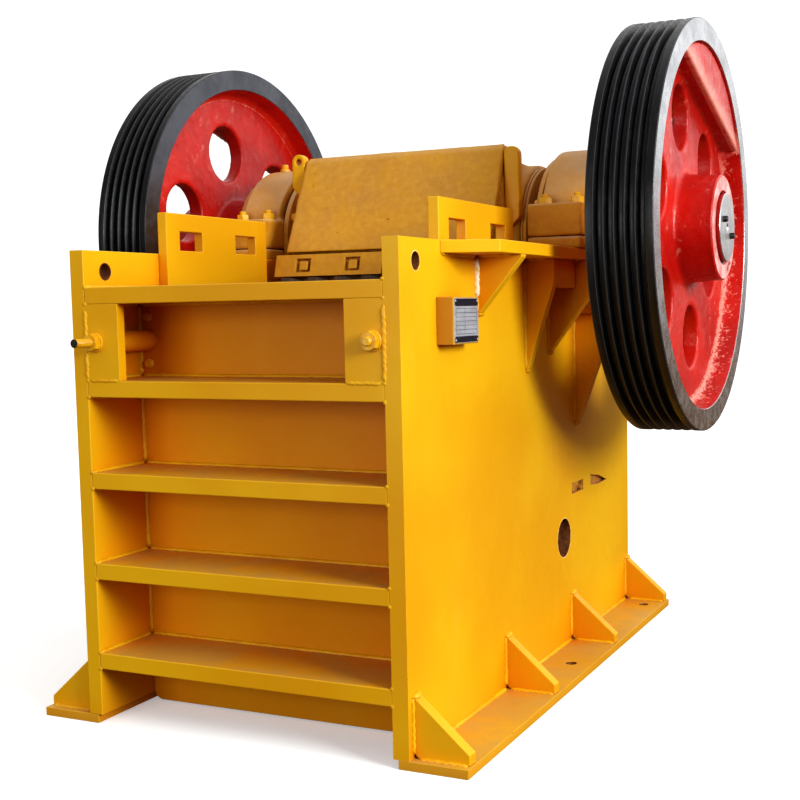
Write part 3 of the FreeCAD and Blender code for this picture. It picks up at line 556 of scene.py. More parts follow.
# A drop of weld metal closes the front corner of each rib.
drop_radius = 0.005
mesh = bmesh.new()
for low, high in rib_boxes:
    for side in sides:
        for z in (low.z, high.z):
            centre = Vector((side * plate_in, plate_front + 0.001, z))
            shape = Matrix.Translation(centre) @ Matrix.Diagonal((1.0, 0.45, 1.0, 1.0))
            made = bmesh.ops.create_uvsphere(mesh, u_segments=14, v_segments=8,
                                             radius=drop_radius, matrix=shape)
            for corner in made["verts"]:
                lump = 1.0 + 0.30 * noise.noise(corner.co * 150.0)
                corner.co = centre + (corner.co - centre) * lump
finished_piece("rib_end_drops", mesh, weld_enamel, "frame")


# ---- Top bay: end plates, sleeves and their bolts ----------------------------------------
# A small plate closes each end of the top bay and is welded in flush with the side
# plate.  A long bolt runs through a sleeve behind it to hold the cheek plates.
ground_edges("front_end_plates", plate_enamel, 0.0020)
ground_edges("bolt_sleeves", plate_enamel, 0.0012)
end_boxes = solid_boxes("front_end_plates")
bay_low = end_boxes[0][0].z
bay_high = end_boxes[0][1].z

mesh = bmesh.new()
for low, high in end_boxes:
    side = 1 if low.x > 0 else -1
    joint = side * plate_in
    lay_bead(mesh, (joint, plate_front, bay_low + 0.004), (joint, plate_front, bay_high - 0.014),
             (0.0048, 0, 0), forward * 0.0022, 180.0, 0.0012)
    inner = side * min(abs(low.x), abs(high.x))
    lay_bead(mesh, (joint - side * 0.008, plate_front, bay_low),
             (inner + side * 0.004, plate_front, bay_low), (0, 0, 0.0038), forward * 0.0018,
             180.0, 0.0008)
finished_piece("end_plate_welds", mesh, weld_enamel, "frame")

nut_flats = 0.036
nut_thickness = 0.020
rod_radius = 0.010
thread_pitch = 0.0025


def hex_radius(turn, flats):
    """Distance from the middle of a hexagon to its side, in this direction."""
    part = (turn % (math.pi / 3)) - math.pi / 6
    return flats / 2 / math.cos(part)


def add_turned(mesh, foot, axis, across, levels):
    """A solid about an axis: for each level its rise and its radii all the way round."""
    axis = Vector(axis).normalized()
    across = Vector(across).normalized()
    third = axis.cross(across)
    rings = []
    for rise, radii in levels:
        ring = []
        for i, radius in enumerate(radii):
            turn = 2 * math.pi * i / len(radii)
            spot = across * math.cos(turn) * radius + third * math.sin(turn) * radius
            ring.append(mesh.verts.new(Vector(foot) + axis * rise + spot))
        rings.append(ring)
    join_rings(mesh, rings)


def add_nut(mesh, foot, axis, across, flats, height, chamfer=0.16):
    """A hexagon nut or bolt head with turned chamfers, standing on foot."""
    drop = flats * chamfer
    hexagon = [hex_radius(2 * math.pi * i / 48, flats) for i in range(48)]
    levels = []
    for rise, cut in ((0.0, drop * 0.45), (drop * 0.26, 0.0), (height * 0.5, 0.0),
                      (height - drop * 0.26, 0.0), (height, drop * 0.45)):
        limit = flats / 2 * 1.155 - cut
        levels.append((rise, [min(radius, limit) for radius in hexagon]))
    add_turned(mesh, foot, axis, across, levels)


def add_thread(mesh, foot, axis, across, radius, length, pitch):
    """A threaded bolt end with a rounded tip."""
    steps = max(6, int(length / (pitch / 3)))
    around = 24
    levels = []
    for i in range(steps + 1):
        rise = length * i / steps
        end = max(0.0, (rise - (length - 0.003)) / 0.003)
        radii = []
        for k in range(around):
            wave = math.cos(2 * math.pi * (rise / pitch - k / around))
            radii.append(radius * (1.0 - 0.22 * end * end)
                         - 0.0009 * (0.5 - 0.5 * wave) * (1 - end))
        levels.append((rise, radii))
    add_turned(mesh, foot, axis, across, levels)


def add_washer(mesh, foot, axis, across, radius, height):
    """A round washer or boss with broken edges."""
    add_turned(mesh, foot, axis, across, [
        (0.0, [radius] * 40), (height * 0.7, [radius] * 40),
        (height, [radius - height * 0.3] * 40)])


def bolt_enamel(name):
    """Brushed enamel that sits thick on a nut and is rubbed through on its corners."""
    paint = Finish(name)
    drift = paint.step(paint.cloud(40.0, 3.0), 0.35, 0.65)
    colour = paint.blend(drift, bright_yellow, deep_yellow)
    edge = paint.edges(0.0016)
    rubbed = paint.step(paint.cloud(160.0, 3.0), 0.40, 0.70, 0.0, 0.9)
    colour = paint.blend(paint.sum("MULTIPLY", edge, rubbed), colour, thin_yellow)
    bare = paint.step(paint.cloud(220.0, 3.0), 0.69, 0.75, 0.0, 0.8)
    colour = paint.blend(bare, colour, chipped_primer)
    skin = paint.relief(paint.cloud(500.0, 2.0), 0.0005)
    return paint.close(colour, 0.33, skin, specular_ior_level=0.5)


fixing_enamel = bolt_enamel("fixing_enamel")
mesh = bmesh.new()
for low, high in solid_boxes("bay_bolts"):
    x = (low.x + high.x) / 2
    z = (low.z + high.z) / 2
    add_washer(mesh, (x, plate_front, z), forward, (1, 0, 0), nut_flats * 0.62, 0.004)
    add_nut(mesh, (x, plate_front - 0.0035, z), forward, (0.94, 0, 0.34), nut_flats,
            nut_thickness - 0.004)
    add_thread(mesh, (x, plate_front - nut_thickness + 0.001, z), forward, (1, 0, 0), rod_radius,
               plate_front - nut_thickness - low.y, thread_pitch)
    add_washer(mesh, (x, wall_front - 0.001, z), (0, 1, 0), (1, 0, 0), rod_radius, 0.001)
bay_fixings = finished_piece("bay_nuts_and_studs", mesh, fixing_enamel, "frame")
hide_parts("bay_bolts")

# The sawn end of the long left stud is bare and dark.
dark_end_radius = 0.0098


def oiled_steel(name):
    """Dark scaled steel with a trace of oil."""
    metal = Finish(name)
    patch = metal.step(metal.cloud(90.0, 4.0), 0.35, 0.65)
    colour = metal.blend(patch, (0.020, 0.018, 0.020, 1.0), (0.060, 0.045, 0.040, 1.0))
    skin = metal.relief(metal.cloud(350.0, 3.0), 0.0003)
    rough = metal.step(metal.cloud(130.0, 2.0), 0.3, 0.7, 0.35, 0.6)
    return metal.close(colour, rough, skin, metallic=0.7)


dark_steel = oiled_steel("dark_steel")
mesh = bmesh.new()
left_bolt = min(solid_boxes("bay_bolts"), key=lambda ends: ends[0].x)
tip = Vector(((left_bolt[0].x + left_bolt[1].x) / 2, left_bolt[0].y + 0.0006,
              (left_bolt[0].z + left_bolt[1].z) / 2))
add_washer(mesh, tip, forward, (1, 0, 0), dark_end_radius, 0.0005)
finished_piece("sawn_stud_end", mesh, dark_steel, "frame")

# Round bolt heads show on the wall above and below each sleeve.
mesh = bmesh.new()
for low, high in solid_boxes("wall_bolt_heads"):
    middle = (low + high) / 2
    radius = (high.x - low.x) / 2
    height = high.y - low.y
    add_washer(mesh, (middle.x, high.y, middle.z), forward, (1, 0, 0), radius, height * 0.45)
    add_nut(mesh, (middle.x, high.y - height * 0.4, middle.z), forward, (1, 0, 0.2),
            radius * 1.62, height * 0.58)
wall_heads = finished_piece("wall_bolt_hexagons", mesh, fixing_enamel, "frame")
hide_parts("wall_bolt_heads")


# ---- Cheek plates and jaw plates ---------------------------------------------------------
# Loose liners stand inside the side plates, each with two windows for lifting wedges.
# The toothed jaw plates are cast manganese steel, left unpainted and a little rusty.
ground_edges("cheek_plates", plate_enamel, 0.0026, 3)


def manganese_steel(name):
    """Sand-cast wear steel, dark brown-grey with rust in its hollows."""
    metal = Finish(name)
    patch = metal.step(metal.cloud(5.0, 5.0), 0.35, 0.65)
    colour = metal.blend(patch, (0.050, 0.032, 0.022, 1.0), (0.085, 0.050, 0.030, 1.0))
    rust = metal.step(metal.cloud(26.0, 5.0, 0.65), 0.50, 0.66, 0.0, 0.85)
    colour = metal.blend(rust, colour, (0.170, 0.060, 0.018, 1.0))
    rough = metal.step(metal.cloud(40.0, 3.0), 0.3, 0.7, 0.60, 0.80)
    lumps = metal.relief(metal.cloud(45.0, 4.0), 0.0016)
    skin = metal.relief(metal.cloud(300.0, 4.0), 0.0006, lumps)
    return metal.close(colour, rough, skin, metallic=0.2)


jaw_metal = manganese_steel("jaw_metal")
for node_name in ("fixed_jaw_plate", "moving_jaw_plate"):
    ground_edges(node_name, jaw_metal, 0.0040, 3)


# ---- Bearing shelves ---------------------------------------------------------------------
# A flat shelf along the top of each side plate carries the bearings.  Six gussets and
# two short aprons, one before and one behind the housing, are welded in to hold it up.
ground_edges("bearing_shelves", plate_enamel, 0.0020)
ground_edges("shelf_gussets", plate_enamel, 0.0022)
ground_edges("shelf_aprons", plate_enamel, 0.0018)
shelf_low, shelf_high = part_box("bearing_shelves")
shelf_gusset_boxes = solid_boxes("shelf_gussets")
shelf_leg = 0.0062
primer_bottom = shelf_low.z - 0.094
primer_leg = 0.0078
touched_up = bmesh.new()
for side in sides:
    hand = "right" if side > 0 else "left"
    mesh = bmesh.new()
    out = Vector((side, 0, 0))
    along_x = side * plate_out
    here = [ends for ends in shelf_gusset_boxes if side * (ends[0].x + ends[1].x) > 0]
    y = shelf_low.y + bead_gap
    for low, high in here:
        meets_shelf = high.z > shelf_low.z - 0.005
        for face_y, away in ((low.y, -1), (high.y, 1)):
            fore = Vector((0, away, 0)) * gusset_leg
            bead_top = high.z - 0.008
            if side > 0 and away < 0 and (low, high) == here[0]:
                lay_bead(touched_up, (along_x, face_y, primer_bottom), (along_x, face_y, bead_top),
                         out * primer_leg, fore / gusset_leg * primer_leg)
                bead_top = primer_bottom
            lay_bead(mesh, (along_x, face_y, low.z + 0.002), (along_x, face_y, bead_top),
                     out * gusset_leg, fore)
            if meets_shelf:
                reach = side * (max(abs(low.x), abs(high.x)) - 0.024)
                lay_bead(mesh, (side * (plate_out + 0.008), face_y, high.z),
                         (reach, face_y, high.z), fore, Vector((0, 0, -1)) * gusset_leg)
        lay_bead(mesh, (along_x, low.y - 0.002, low.z), (along_x, high.y + 0.002, low.z),
                 out * 0.010, Vector((0, 0, -1)) * 0.008)
        if meets_shelf:
            lay_bead(mesh, (along_x, y, shelf_low.z), (along_x, low.y - 0.006, shelf_low.z),
                     out * shelf_leg, Vector((0, 0, -1)) * shelf_leg)
            y = high.y + 0.006
    lay_bead(mesh, (along_x, y, shelf_low.z), (along_x, shelf_high.y - bead_gap, shelf_low.z),
             out * shelf_leg, Vector((0, 0, -1)) * shelf_leg)
    seam_z = plate_top - 0.0004
    for first_y, last_y in ((shelf_low.y + bead_gap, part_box("bearing_seats")[0].y - 0.01),
                            (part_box("bearing_seats")[1].y + 0.01, shelf_high.y - bead_gap)):
        lay_bead(mesh, (along_x, first_y, seam_z), (along_x, last_y, seam_z),
                 (0.0055, 0, 0), (0, 0, 0.0018), 180.0, 0.0016)
    finished_piece("shelf_welds_" + hand, mesh, weld_enamel, "frame")

# The top of the first gusset's weld was touched up with pale primer and never repainted.
pale_primer = (0.780, 0.680, 0.500, 1.0)


def chalky_primer(name):
    """Pale primer brushed on in dabs, with the enamel showing through."""
    coat = Finish(name)
    dab = coat.step(coat.cloud(75.0, 3.0, 0.6, (1.0, 1.0, 0.55)), 0.34, 0.46)
    colour = coat.blend(dab, bright_yellow, pale_primer)
    skin = coat.relief(coat.cloud(260.0, 3.0), 0.0005)
    return coat.close(colour, 0.62, skin)


touch_up = chalky_primer("touch_up_primer")
finished_piece("touched_up_weld", touched_up, touch_up, "frame")


# ---- Bearing housings --------------------------------------------------------------------
# Each bearing sits in a cast two-part housing, a seat below and a domed cap above,
# drawn down by four studs with hexagon nuts.  The castings are painted as cast.
cast_yellow = (0.640, 0.290, 0.016, 1.0)
cast_brown = (0.540, 0.220, 0.012, 1.0)
cast_light = (0.720, 0.400, 0.060, 1.0)


def cast_enamel(name, first, second, light, dusty):
    """Thin enamel over a sand-cast skin: mottled and dull, with dust where it faces up, and grime
    with painted shade in its corners.
    """
    paint = Finish(name)
    drift = paint.step(paint.cloud(4.5, 4.0), 0.35, 0.65)
    colour = paint.blend(drift, first, second)
    mottle = paint.step(paint.cloud(48.0, 5.0, 0.7), 0.42, 0.68, 0.0, 0.35)
    colour = paint.blend(mottle, colour, light)
    facing = paint.add("ShaderNodeNewGeometry").outputs["Normal"]
    upward_share = paint.add("ShaderNodeSeparateXYZ", {0: facing}).outputs["Z"]
    dust = paint.sum("MULTIPLY", paint.step(upward_share, 0.05, 0.75, 0.0, dusty),
                     paint.step(paint.cloud(9.0, 4.0), 0.30, 0.65, 0.45, 1.0))
    colour = paint.blend(dust, colour, (0.660, 0.430, 0.225, 1.0))
    # Grime and painted shade: dark brown in inside corners.
    grime_and_corner_shade = paint.step(paint.corners(0.03), 0.35, 0.95, 0.0, 0.6)
    colour = paint.blend(grime_and_corner_shade, colour, grime_and_shade_brown)
    pits = paint.step(paint.cloud(70.0, 2.0, 0.4), 0.765, 0.785, 0.0, 0.7)
    colour = paint.blend(pits, colour, chipped_primer)
    edge = paint.edges(0.005)
    rubbed = paint.step(paint.cloud(55.0, 3.0), 0.40, 0.70, 0.0, 0.6)
    colour = paint.blend(paint.sum("MULTIPLY", edge, rubbed), colour, light)
    rough = paint.step(paint.cloud(60.0, 3.0), 0.3, 0.7, 0.52, 0.70)
    lumps = paint.relief(paint.cloud(38.0, 3.0), 0.0010)
    skin = paint.relief(paint.cloud(230.0, 5.0, 0.7), 0.00045, lumps)
    return paint.close(colour, rough, skin, specular_ior_level=0.25)


housing_enamel = cast_enamel("housing_enamel", cast_yellow, cast_brown, cast_light, 0.85)


def cast_piece(name, node_name, grain, material, body, softening=3, unevenness=0.0007):
    """A casting with rounded corners and an uneven skin, to the shape of a node."""
    block = bpy.data.objects.new(name + "_pattern", nodes[node_name].data.copy())
    bpy.context.scene.collection.objects.link(block)
    block.modifiers.new("joined", "WELD").merge_threshold = 0.00001
    skin = block.modifiers.new("skin", "REMESH")
    skin.mode = "VOXEL"
    skin.voxel_size = grain
    block.update_tag()
    bpy.context.view_layer.update()
    shape = block.evaluated_get(bpy.context.evaluated_depsgraph_get()).to_mesh()
    mesh = bmesh.new()
    mesh.from_mesh(shape)
    bpy.data.objects.remove(block)
    for i in range(softening):
        bmesh.ops.smooth_vert(mesh, verts=mesh.verts, factor=0.5, use_axis_x=True,
                              use_axis_y=True, use_axis_z=True)
    mesh.normal_update()
    for corner in mesh.verts:
        broad = noise.noise(corner.co * 11.0)
        fine = noise.noise(corner.co * 55.0)
        corner.co += corner.normal * unevenness * (0.8 * broad + 0.5 * fine - 0.5)
    piece = finished_piece(name, mesh, material, body, 180.0)
    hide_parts(node_name)
    return piece


cast_piece("cap_castings", "bearing_caps", 0.0050, housing_enamel, "frame")
cast_piece("seat_castings", "bearing_seats", 0.0055, housing_enamel, "frame")

cap_nut_flats = 0.031
cap_nut_height = 0.019
cap_stud_radius = 0.011
mesh = bmesh.new()
shoulder_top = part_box("bearing_cap_bolts")[1].z - 0.010 - cap_nut_height
for low, high in solid_boxes("bearing_cap_bolts"):
    x = (low.x + high.x) / 2
    y = (low.y + high.y) / 2
    twist = 40.0 * (x + 3 * y)
    add_washer(mesh, (x, y, shoulder_top - 0.0006), upward, (1, 0, 0), cap_nut_flats * 0.60, 0.0035)
    add_nut(mesh, (x, y, shoulder_top + 0.0025), upward, (math.cos(twist), math.sin(twist), 0),
            cap_nut_flats, cap_nut_height - 0.0025)
    add_thread(mesh, (x, y, shoulder_top + cap_nut_height - 0.0005), upward, (1, 0, 0),
               cap_stud_radius - 0.001, 0.0100, thread_pitch)
cap_fixings = finished_piece("cap_nuts_and_studs", mesh, fixing_enamel, "frame")
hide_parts("bearing_cap_bolts")


def lathe(mesh, profile, middle_y, middle_z, around=128, closed=True):
    """Turns (x, radius) points about the shaft line into a ring, or a solid if not closed."""
    rings = []
    for x, radius in profile:
        ring = []
        for i in range(around):
            turn = 2 * math.pi * i / around
            ring.append(mesh.verts.new((x, middle_y + radius * math.cos(turn),
                                        middle_z + radius * math.sin(turn))))
        rings.append(ring)
    return join_rings(mesh, rings, closed)


shaft_low, shaft_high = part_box("flywheel_rim_right")
shaft_y = (shaft_low.y + shaft_high.y) / 2
shaft_z = (shaft_low.z + shaft_high.z) / 2

# A threaded stub for a lifting eye stands on each cap.
mesh = bmesh.new()
for low, high in solid_boxes("bearing_cap_bosses"):
    x = (low.x + high.x) / 2
    y = (low.y + high.y) / 2
    add_washer(mesh, (x, y, low.z + 0.0005), upward, (1, 0, 0), 0.0150, 0.008)
    add_thread(mesh, (x, y, low.z + 0.004), upward, (1, 0, 0), 0.0105,
               high.z - low.z - 0.0042, 0.003)
stubs = finished_piece("cap_eye_stubs", mesh, fixing_enamel, "frame")
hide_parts("bearing_cap_bosses")

# Flat ring covers close the bearings on both faces, each with eight small bolts.
cover_bolt_circle = 0.186
cover_bolt_count = 8
cover_bolt_flats = 0.022
cover_bore = 0.096


def away_from_housing(low, high):
    """1 or -1, the way along X that a bearing cover faces."""
    outer_cover = abs(low.x + high.x) / 2 > plate_out + 0.05
    return 1 if outer_cover == (low.x > 0) else -1


mesh = bmesh.new()
for low, high in solid_boxes("bearing_covers"):
    outward = away_from_housing(low, high)
    near = low.x if outward > 0 else high.x
    thick = high.x - low.x
    outer = (high.y - low.y) / 2
    face = [(0.0, cover_bore), (0.0, outer), (0.72, outer), (0.88, outer - 0.002),
            (0.92, outer - 0.010), (0.92, 0.160), (0.99, 0.154), (0.99, cover_bore + 0.003),
            (0.90, cover_bore)]
    lathe(mesh, [(near + outward * thick * depth, radius) for depth, radius in face],
          shaft_y, shaft_z, 112)
cover_ring = finished_piece("cover_rings", mesh, housing_enamel, "frame")
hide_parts("bearing_covers")
bevel_corners(cover_ring, 0.0010, 2, 35)
mesh = bmesh.new()
for low, high in solid_boxes("bearing_covers"):
    outward = away_from_housing(low, high)
    face_x = (low.x if outward > 0 else high.x) + outward * (high.x - low.x) * 0.90
    for i in range(cover_bolt_count):
        turn = 2 * math.pi * (i + 0.5) / cover_bolt_count
        y = shaft_y + cover_bolt_circle * math.cos(turn)
        z = shaft_z + cover_bolt_circle * math.sin(turn)
        add_washer(mesh, (face_x, y, z), (outward, 0, 0), (0, 1, 0), cover_bolt_flats * 0.62, 0.002)
        add_nut(mesh, (face_x + outward * 0.002, y, z), (outward, 0, 0),
                (0, math.cos(turn), math.sin(turn)), cover_bolt_flats, 0.008)
finished_piece("cover_bolt_heads", mesh, fixing_enamel, "frame")


def turned_steel(name, tint, rings_to_metre=900.0, smooth=0.22):
    """Machined steel with fine turning rings about the shaft line."""
    metal = Finish(name)
    middle = metal.add("ShaderNodeVectorMath", {0: metal.place, 1: (0.0, shaft_y, shaft_z)},
                       operation="SUBTRACT").outputs[0]
    flat = metal.add("ShaderNodeVectorMath", {0: middle, 1: (0.0, 1.0, 1.0)},
                     operation="MULTIPLY").outputs[0]
    radius = metal.add("ShaderNodeVectorMath", {0: flat}, operation="LENGTH").outputs["Value"]
    wave = metal.sum("SINE", metal.sum("MULTIPLY", radius, rings_to_metre * 2 * math.pi), 0.0)
    patch = metal.step(metal.cloud(9.0, 4.0), 0.35, 0.65)
    colour = metal.blend(patch, tint, tuple(c * 0.72 for c in tint[:3]) + (1.0,))
    stain = metal.step(metal.cloud(30.0, 5.0, 0.65), 0.60, 0.75, 0.0, 0.5)
    colour = metal.blend(stain, colour, (0.260, 0.170, 0.110, 1.0))
    rough = metal.step(metal.cloud(50.0, 3.0), 0.3, 0.7, smooth, smooth + 0.16)
    grooves = metal.relief(wave, 0.00004)
    skin = metal.relief(metal.cloud(140.0, 3.0), 0.0002, grooves)
    return metal.close(colour, rough, skin, metallic=1.0)


bright_steel = turned_steel("turned_bright_steel", (0.620, 0.640, 0.680, 1.0))
ground_edges("main_bearings", bright_steel, 0.0015)


# ---- Rear wall and toggle seat -----------------------------------------------------------
# A ribbed plate closes the back of the frame low down.  A cast block on a cross beam
# takes the push of the jaw through the toggle plate.
for node_name in ("rear_wall", "rear_ribs", "toggle_beam"):
    ground_edges(node_name, plate_enamel, 0.0020)
rear_low, rear_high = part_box("rear_wall")
rear_ribs = sorted(solid_boxes("rear_ribs"), key=lambda ends: ends[0].z)
mesh = bmesh.new()
for low, high in rear_ribs:
    for z, away in ((high.z, 1), (low.z, -1)):
        lay_bead(mesh, (-bead_reach, high.y, z), (bead_reach, high.y, z),
                 forward * rib_leg, upward * away * rib_leg)
        for side in sides:
            lay_bead(mesh, (side * plate_in, low.y + 0.003, z),
                     (side * plate_in, high.y - 0.005, z),
                     Vector((-side, 0, 0)) * rib_leg, upward * away * rib_leg)
for side in sides:
    lay_bead(mesh, (side * plate_in, rear_high.y, rear_low.z + 0.004),
             (side * plate_in, rear_high.y, rear_high.z - 0.004), (0.0065, 0, 0),
             (0, 0.0025, 0), 180.0, 0.0010)
    lay_bead(mesh, (side * plate_in, rear_low.y + 0.002, rear_high.z),
             (side * plate_in, rear_high.y - 0.002, rear_high.z),
             Vector((-side, 0, 0)) * rib_leg, upward * rib_leg)
beam_low, beam_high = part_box("toggle_beam")
for side in sides:
    for y, away in ((beam_low.y, -1), (beam_high.y, 1)):
        lay_bead(mesh, (side * plate_in, y, beam_low.z + 0.004),
                 (side * plate_in, y, beam_high.z - 0.004),
                 Vector((-side, 0, 0)) * rib_leg, Vector((0, away, 0)) * rib_leg)
finished_piece("rear_welds", mesh, weld_enamel, "frame")
cast_piece("toggle_block_casting", "toggle_block", 0.0085, housing_enamel, "frame")
cast_piece("toggle_casting", "toggle_plate", 0.0075, housing_enamel, "frame")


# ---- Name plate --------------------------------------------------------------------------
# A bent sheet bracket stands off the side plate and carries a riveted aluminium plate.
# The plate is bare but for two dark bands and an empty ruled form.
bracket_olive = (0.500, 0.270, 0.032, 1.0)
bracket_brown = (0.400, 0.200, 0.022, 1.0)
olive_enamel = yellow_enamel("olive_enamel", bracket_olive, bracket_brown)
ground_edges("name_plate_bracket", olive_enamel, 0.0016)


def brushed_aluminium(name):
    """Brushed aluminium with a dull anodised skin."""
    metal = Finish(name)
    brush = metal.cloud(90.0, 4.0, 0.6, (1.0, 0.06, 1.0))
    colour = metal.blend(metal.step(brush, 0.3, 0.7), (0.600, 0.640, 0.730, 1.0),
                         (0.740, 0.770, 0.850, 1.0))
    skin = metal.relief(brush, 0.0001)
    rough = metal.step(metal.cloud(60.0, 3.0), 0.3, 0.7, 0.36, 0.50)
    return metal.close(colour, rough, skin, metallic=0.65)


def band_lacquer(name):
    """Thin blue-black lacquer, worn a little at its rim."""
    coat = Finish(name)
    worn = coat.step(coat.cloud(200.0, 4.0), 0.62, 0.72, 0.0, 0.6)
    colour = coat.blend(worn, (0.012, 0.012, 0.022, 1.0), (0.200, 0.210, 0.230, 1.0))
    return coat.close(colour, 0.40, coat.relief(coat.cloud(400.0, 2.0), 0.0001))


aluminium = brushed_aluminium("name_plate_aluminium")
lacquer = band_lacquer("name_plate_lacquer")
corner_round = 0.008
band_top = 0.016
band_bottom = 0.013
rule_width = 0.0008
rivet_inset = 0.006
form_margin = 0.008
form_gap = 0.005


def add_slab(mesh, x0, x1, y0, y1, z0, z1, radius):
    """A thin slab facing +X with rounded corners."""
    outline = []
    for cy, cz, first in ((y1 - radius, z1 - radius, 0), (y0 + radius, z1 - radius, 90),
                          (y0 + radius, z0 + radius, 180), (y1 - radius, z0 + radius, 270)):
        for k in range(7):
            turn = math.radians(first + 15 * k)
            outline.append((cy + radius * math.cos(turn), cz + radius * math.sin(turn)))
    add_panel(mesh, outline, x0, x1)


name_low, name_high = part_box("name_plate")
plate_face = name_low.x + 0.0016
mesh = bmesh.new()
add_slab(mesh, name_low.x, plate_face, name_low.y, name_high.y, name_low.z, name_high.z,
         corner_round)
for y in (name_low.y + rivet_inset, name_high.y - rivet_inset):
    for z in (name_low.z + rivet_inset, name_high.z - rivet_inset):
        add_washer(mesh, (plate_face, y, z), (1, 0, 0), (0, 1, 0), 0.0026, 0.0009)
bare_plate = finished_piece("blank_name_plate", mesh, aluminium, "frame")
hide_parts("name_plate")
mesh = bmesh.new()
inset = 0.0012
under = plate_face - 0.0004
ink = plate_face + 0.0002
add_slab(mesh, under, ink, name_low.y + inset, name_high.y - inset,
         name_high.z - inset - band_top, name_high.z - inset, 0.006)
add_slab(mesh, under, ink, name_low.y + inset, name_high.y - inset,
         name_low.z + inset, name_low.z + inset + band_bottom, 0.006)
form_low = name_low.z + inset + band_bottom + form_gap
form_high = name_high.z - inset - band_top - form_gap
form_front = name_low.y + form_margin
form_rear = name_high.y - form_margin
form_rows = 6
for i in range(form_rows + 1):
    z = form_low + (form_high - form_low) * i / form_rows
    add_slab(mesh, under, ink, form_front, form_rear,
             z - rule_width / 2, z + rule_width / 2, rule_width * 0.45)
for share in (0.0, 0.42, 1.0):
    y = form_front + (form_rear - form_front) * share
    add_slab(mesh, under, ink, y - rule_width / 2, y + rule_width / 2,
             form_low, form_high, rule_width * 0.45)
finished_piece("name_plate_bands", mesh, lacquer, "frame")


# ---- Eccentric shaft ---------------------------------------------------------------------
# One forged steel shaft, turned all over, with an offset journal inside the jaw.  Two
# black studs stand on each end face, left over from drawing the wheels on.
end_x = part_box("eccentric_shaft")[1].x
shaft_radius = 0.090
throw_radius = 0.102
throw_half = 0.335
throw_core = 0.05
throw_low, throw_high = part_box("jaw_seal_rings")
throw_y = (throw_low.y + throw_high.y) / 2
throw_z = (throw_low.z + throw_high.z) / 2
mesh = bmesh.new()
right_end = [(end_x - 0.022, 0.0015), (end_x - 0.009, 0.0075), (end_x - 0.0005, 0.0120),
             (end_x, 0.0130), (end_x, 0.0800), (end_x - 0.0012, 0.0815), (end_x - 0.0012, 0.0850),
             (end_x - 0.0055, shaft_radius)]
left_end = [(-x, radius) for x, radius in reversed(right_end)]
lathe(mesh, right_end + left_end, shaft_y, shaft_z, 96, closed=False)
right_throw = [(throw_half, throw_core), (throw_half, throw_radius - 0.002),
               (throw_half - 0.002, throw_radius)]
left_throw = [(-x, radius) for x, radius in reversed(right_throw)]
lathe(mesh, right_throw + left_throw, throw_y, throw_z, 96, closed=False)
turned_shaft = finished_piece("turned_shaft", mesh, bright_steel, "rotor", 20.0)
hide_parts("eccentric_shaft")

mesh = bmesh.new()
for low, high in solid_boxes("shaft_end_studs"):
    side = 1 if low.x > 0 else -1
    y = (low.y + high.y) / 2
    z = (low.z + high.z) / 2
    reach = max(abs(low.x), abs(high.x)) - (end_x - 0.004)
    add_thread(mesh, (side * (end_x - 0.004), y, z), (side, 0, 0), (0, 1, 0),
               (high.y - low.y) / 2, reach, thread_pitch)
end_studs = finished_piece("black_end_studs", mesh, dark_steel, "rotor")
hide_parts("shaft_end_studs")


# ---- Flywheels ---------------------------------------------------------------------------
# Two cast wheels with five vee grooves in the rim, six holes in the web and a balance
# weight cast into the recess.  Red enamel inside, the rim's faces and tread machined.
red = (0.600, 0.011, 0.004, 1.0)
deep_red = (0.430, 0.006, 0.003, 1.0)
# Pale pink for rubbed chalky paint, and for the painted sheen and highlight.
chalk_and_sheen_pink = (0.860, 0.330, 0.260, 1.0)
web_inner_radius = 0.471
web_half = 0.024
groove_count = 5
groove_pitch = 0.0255
groove_depth = 0.019
groove_top = 0.0225
groove_bottom = 0.009
hub_radius = 0.137
hub_root = 0.745
chord_angle = math.radians(73.0)
chord_reach = 0.352
weight_face = 0.770
rim_chamfer = 0.0018
shaft_end_proud = 0.010
fillet_reach = 0.020
# The radius of the fillet that carries the painted highlight.
sheen_fillet_radius = 0.462


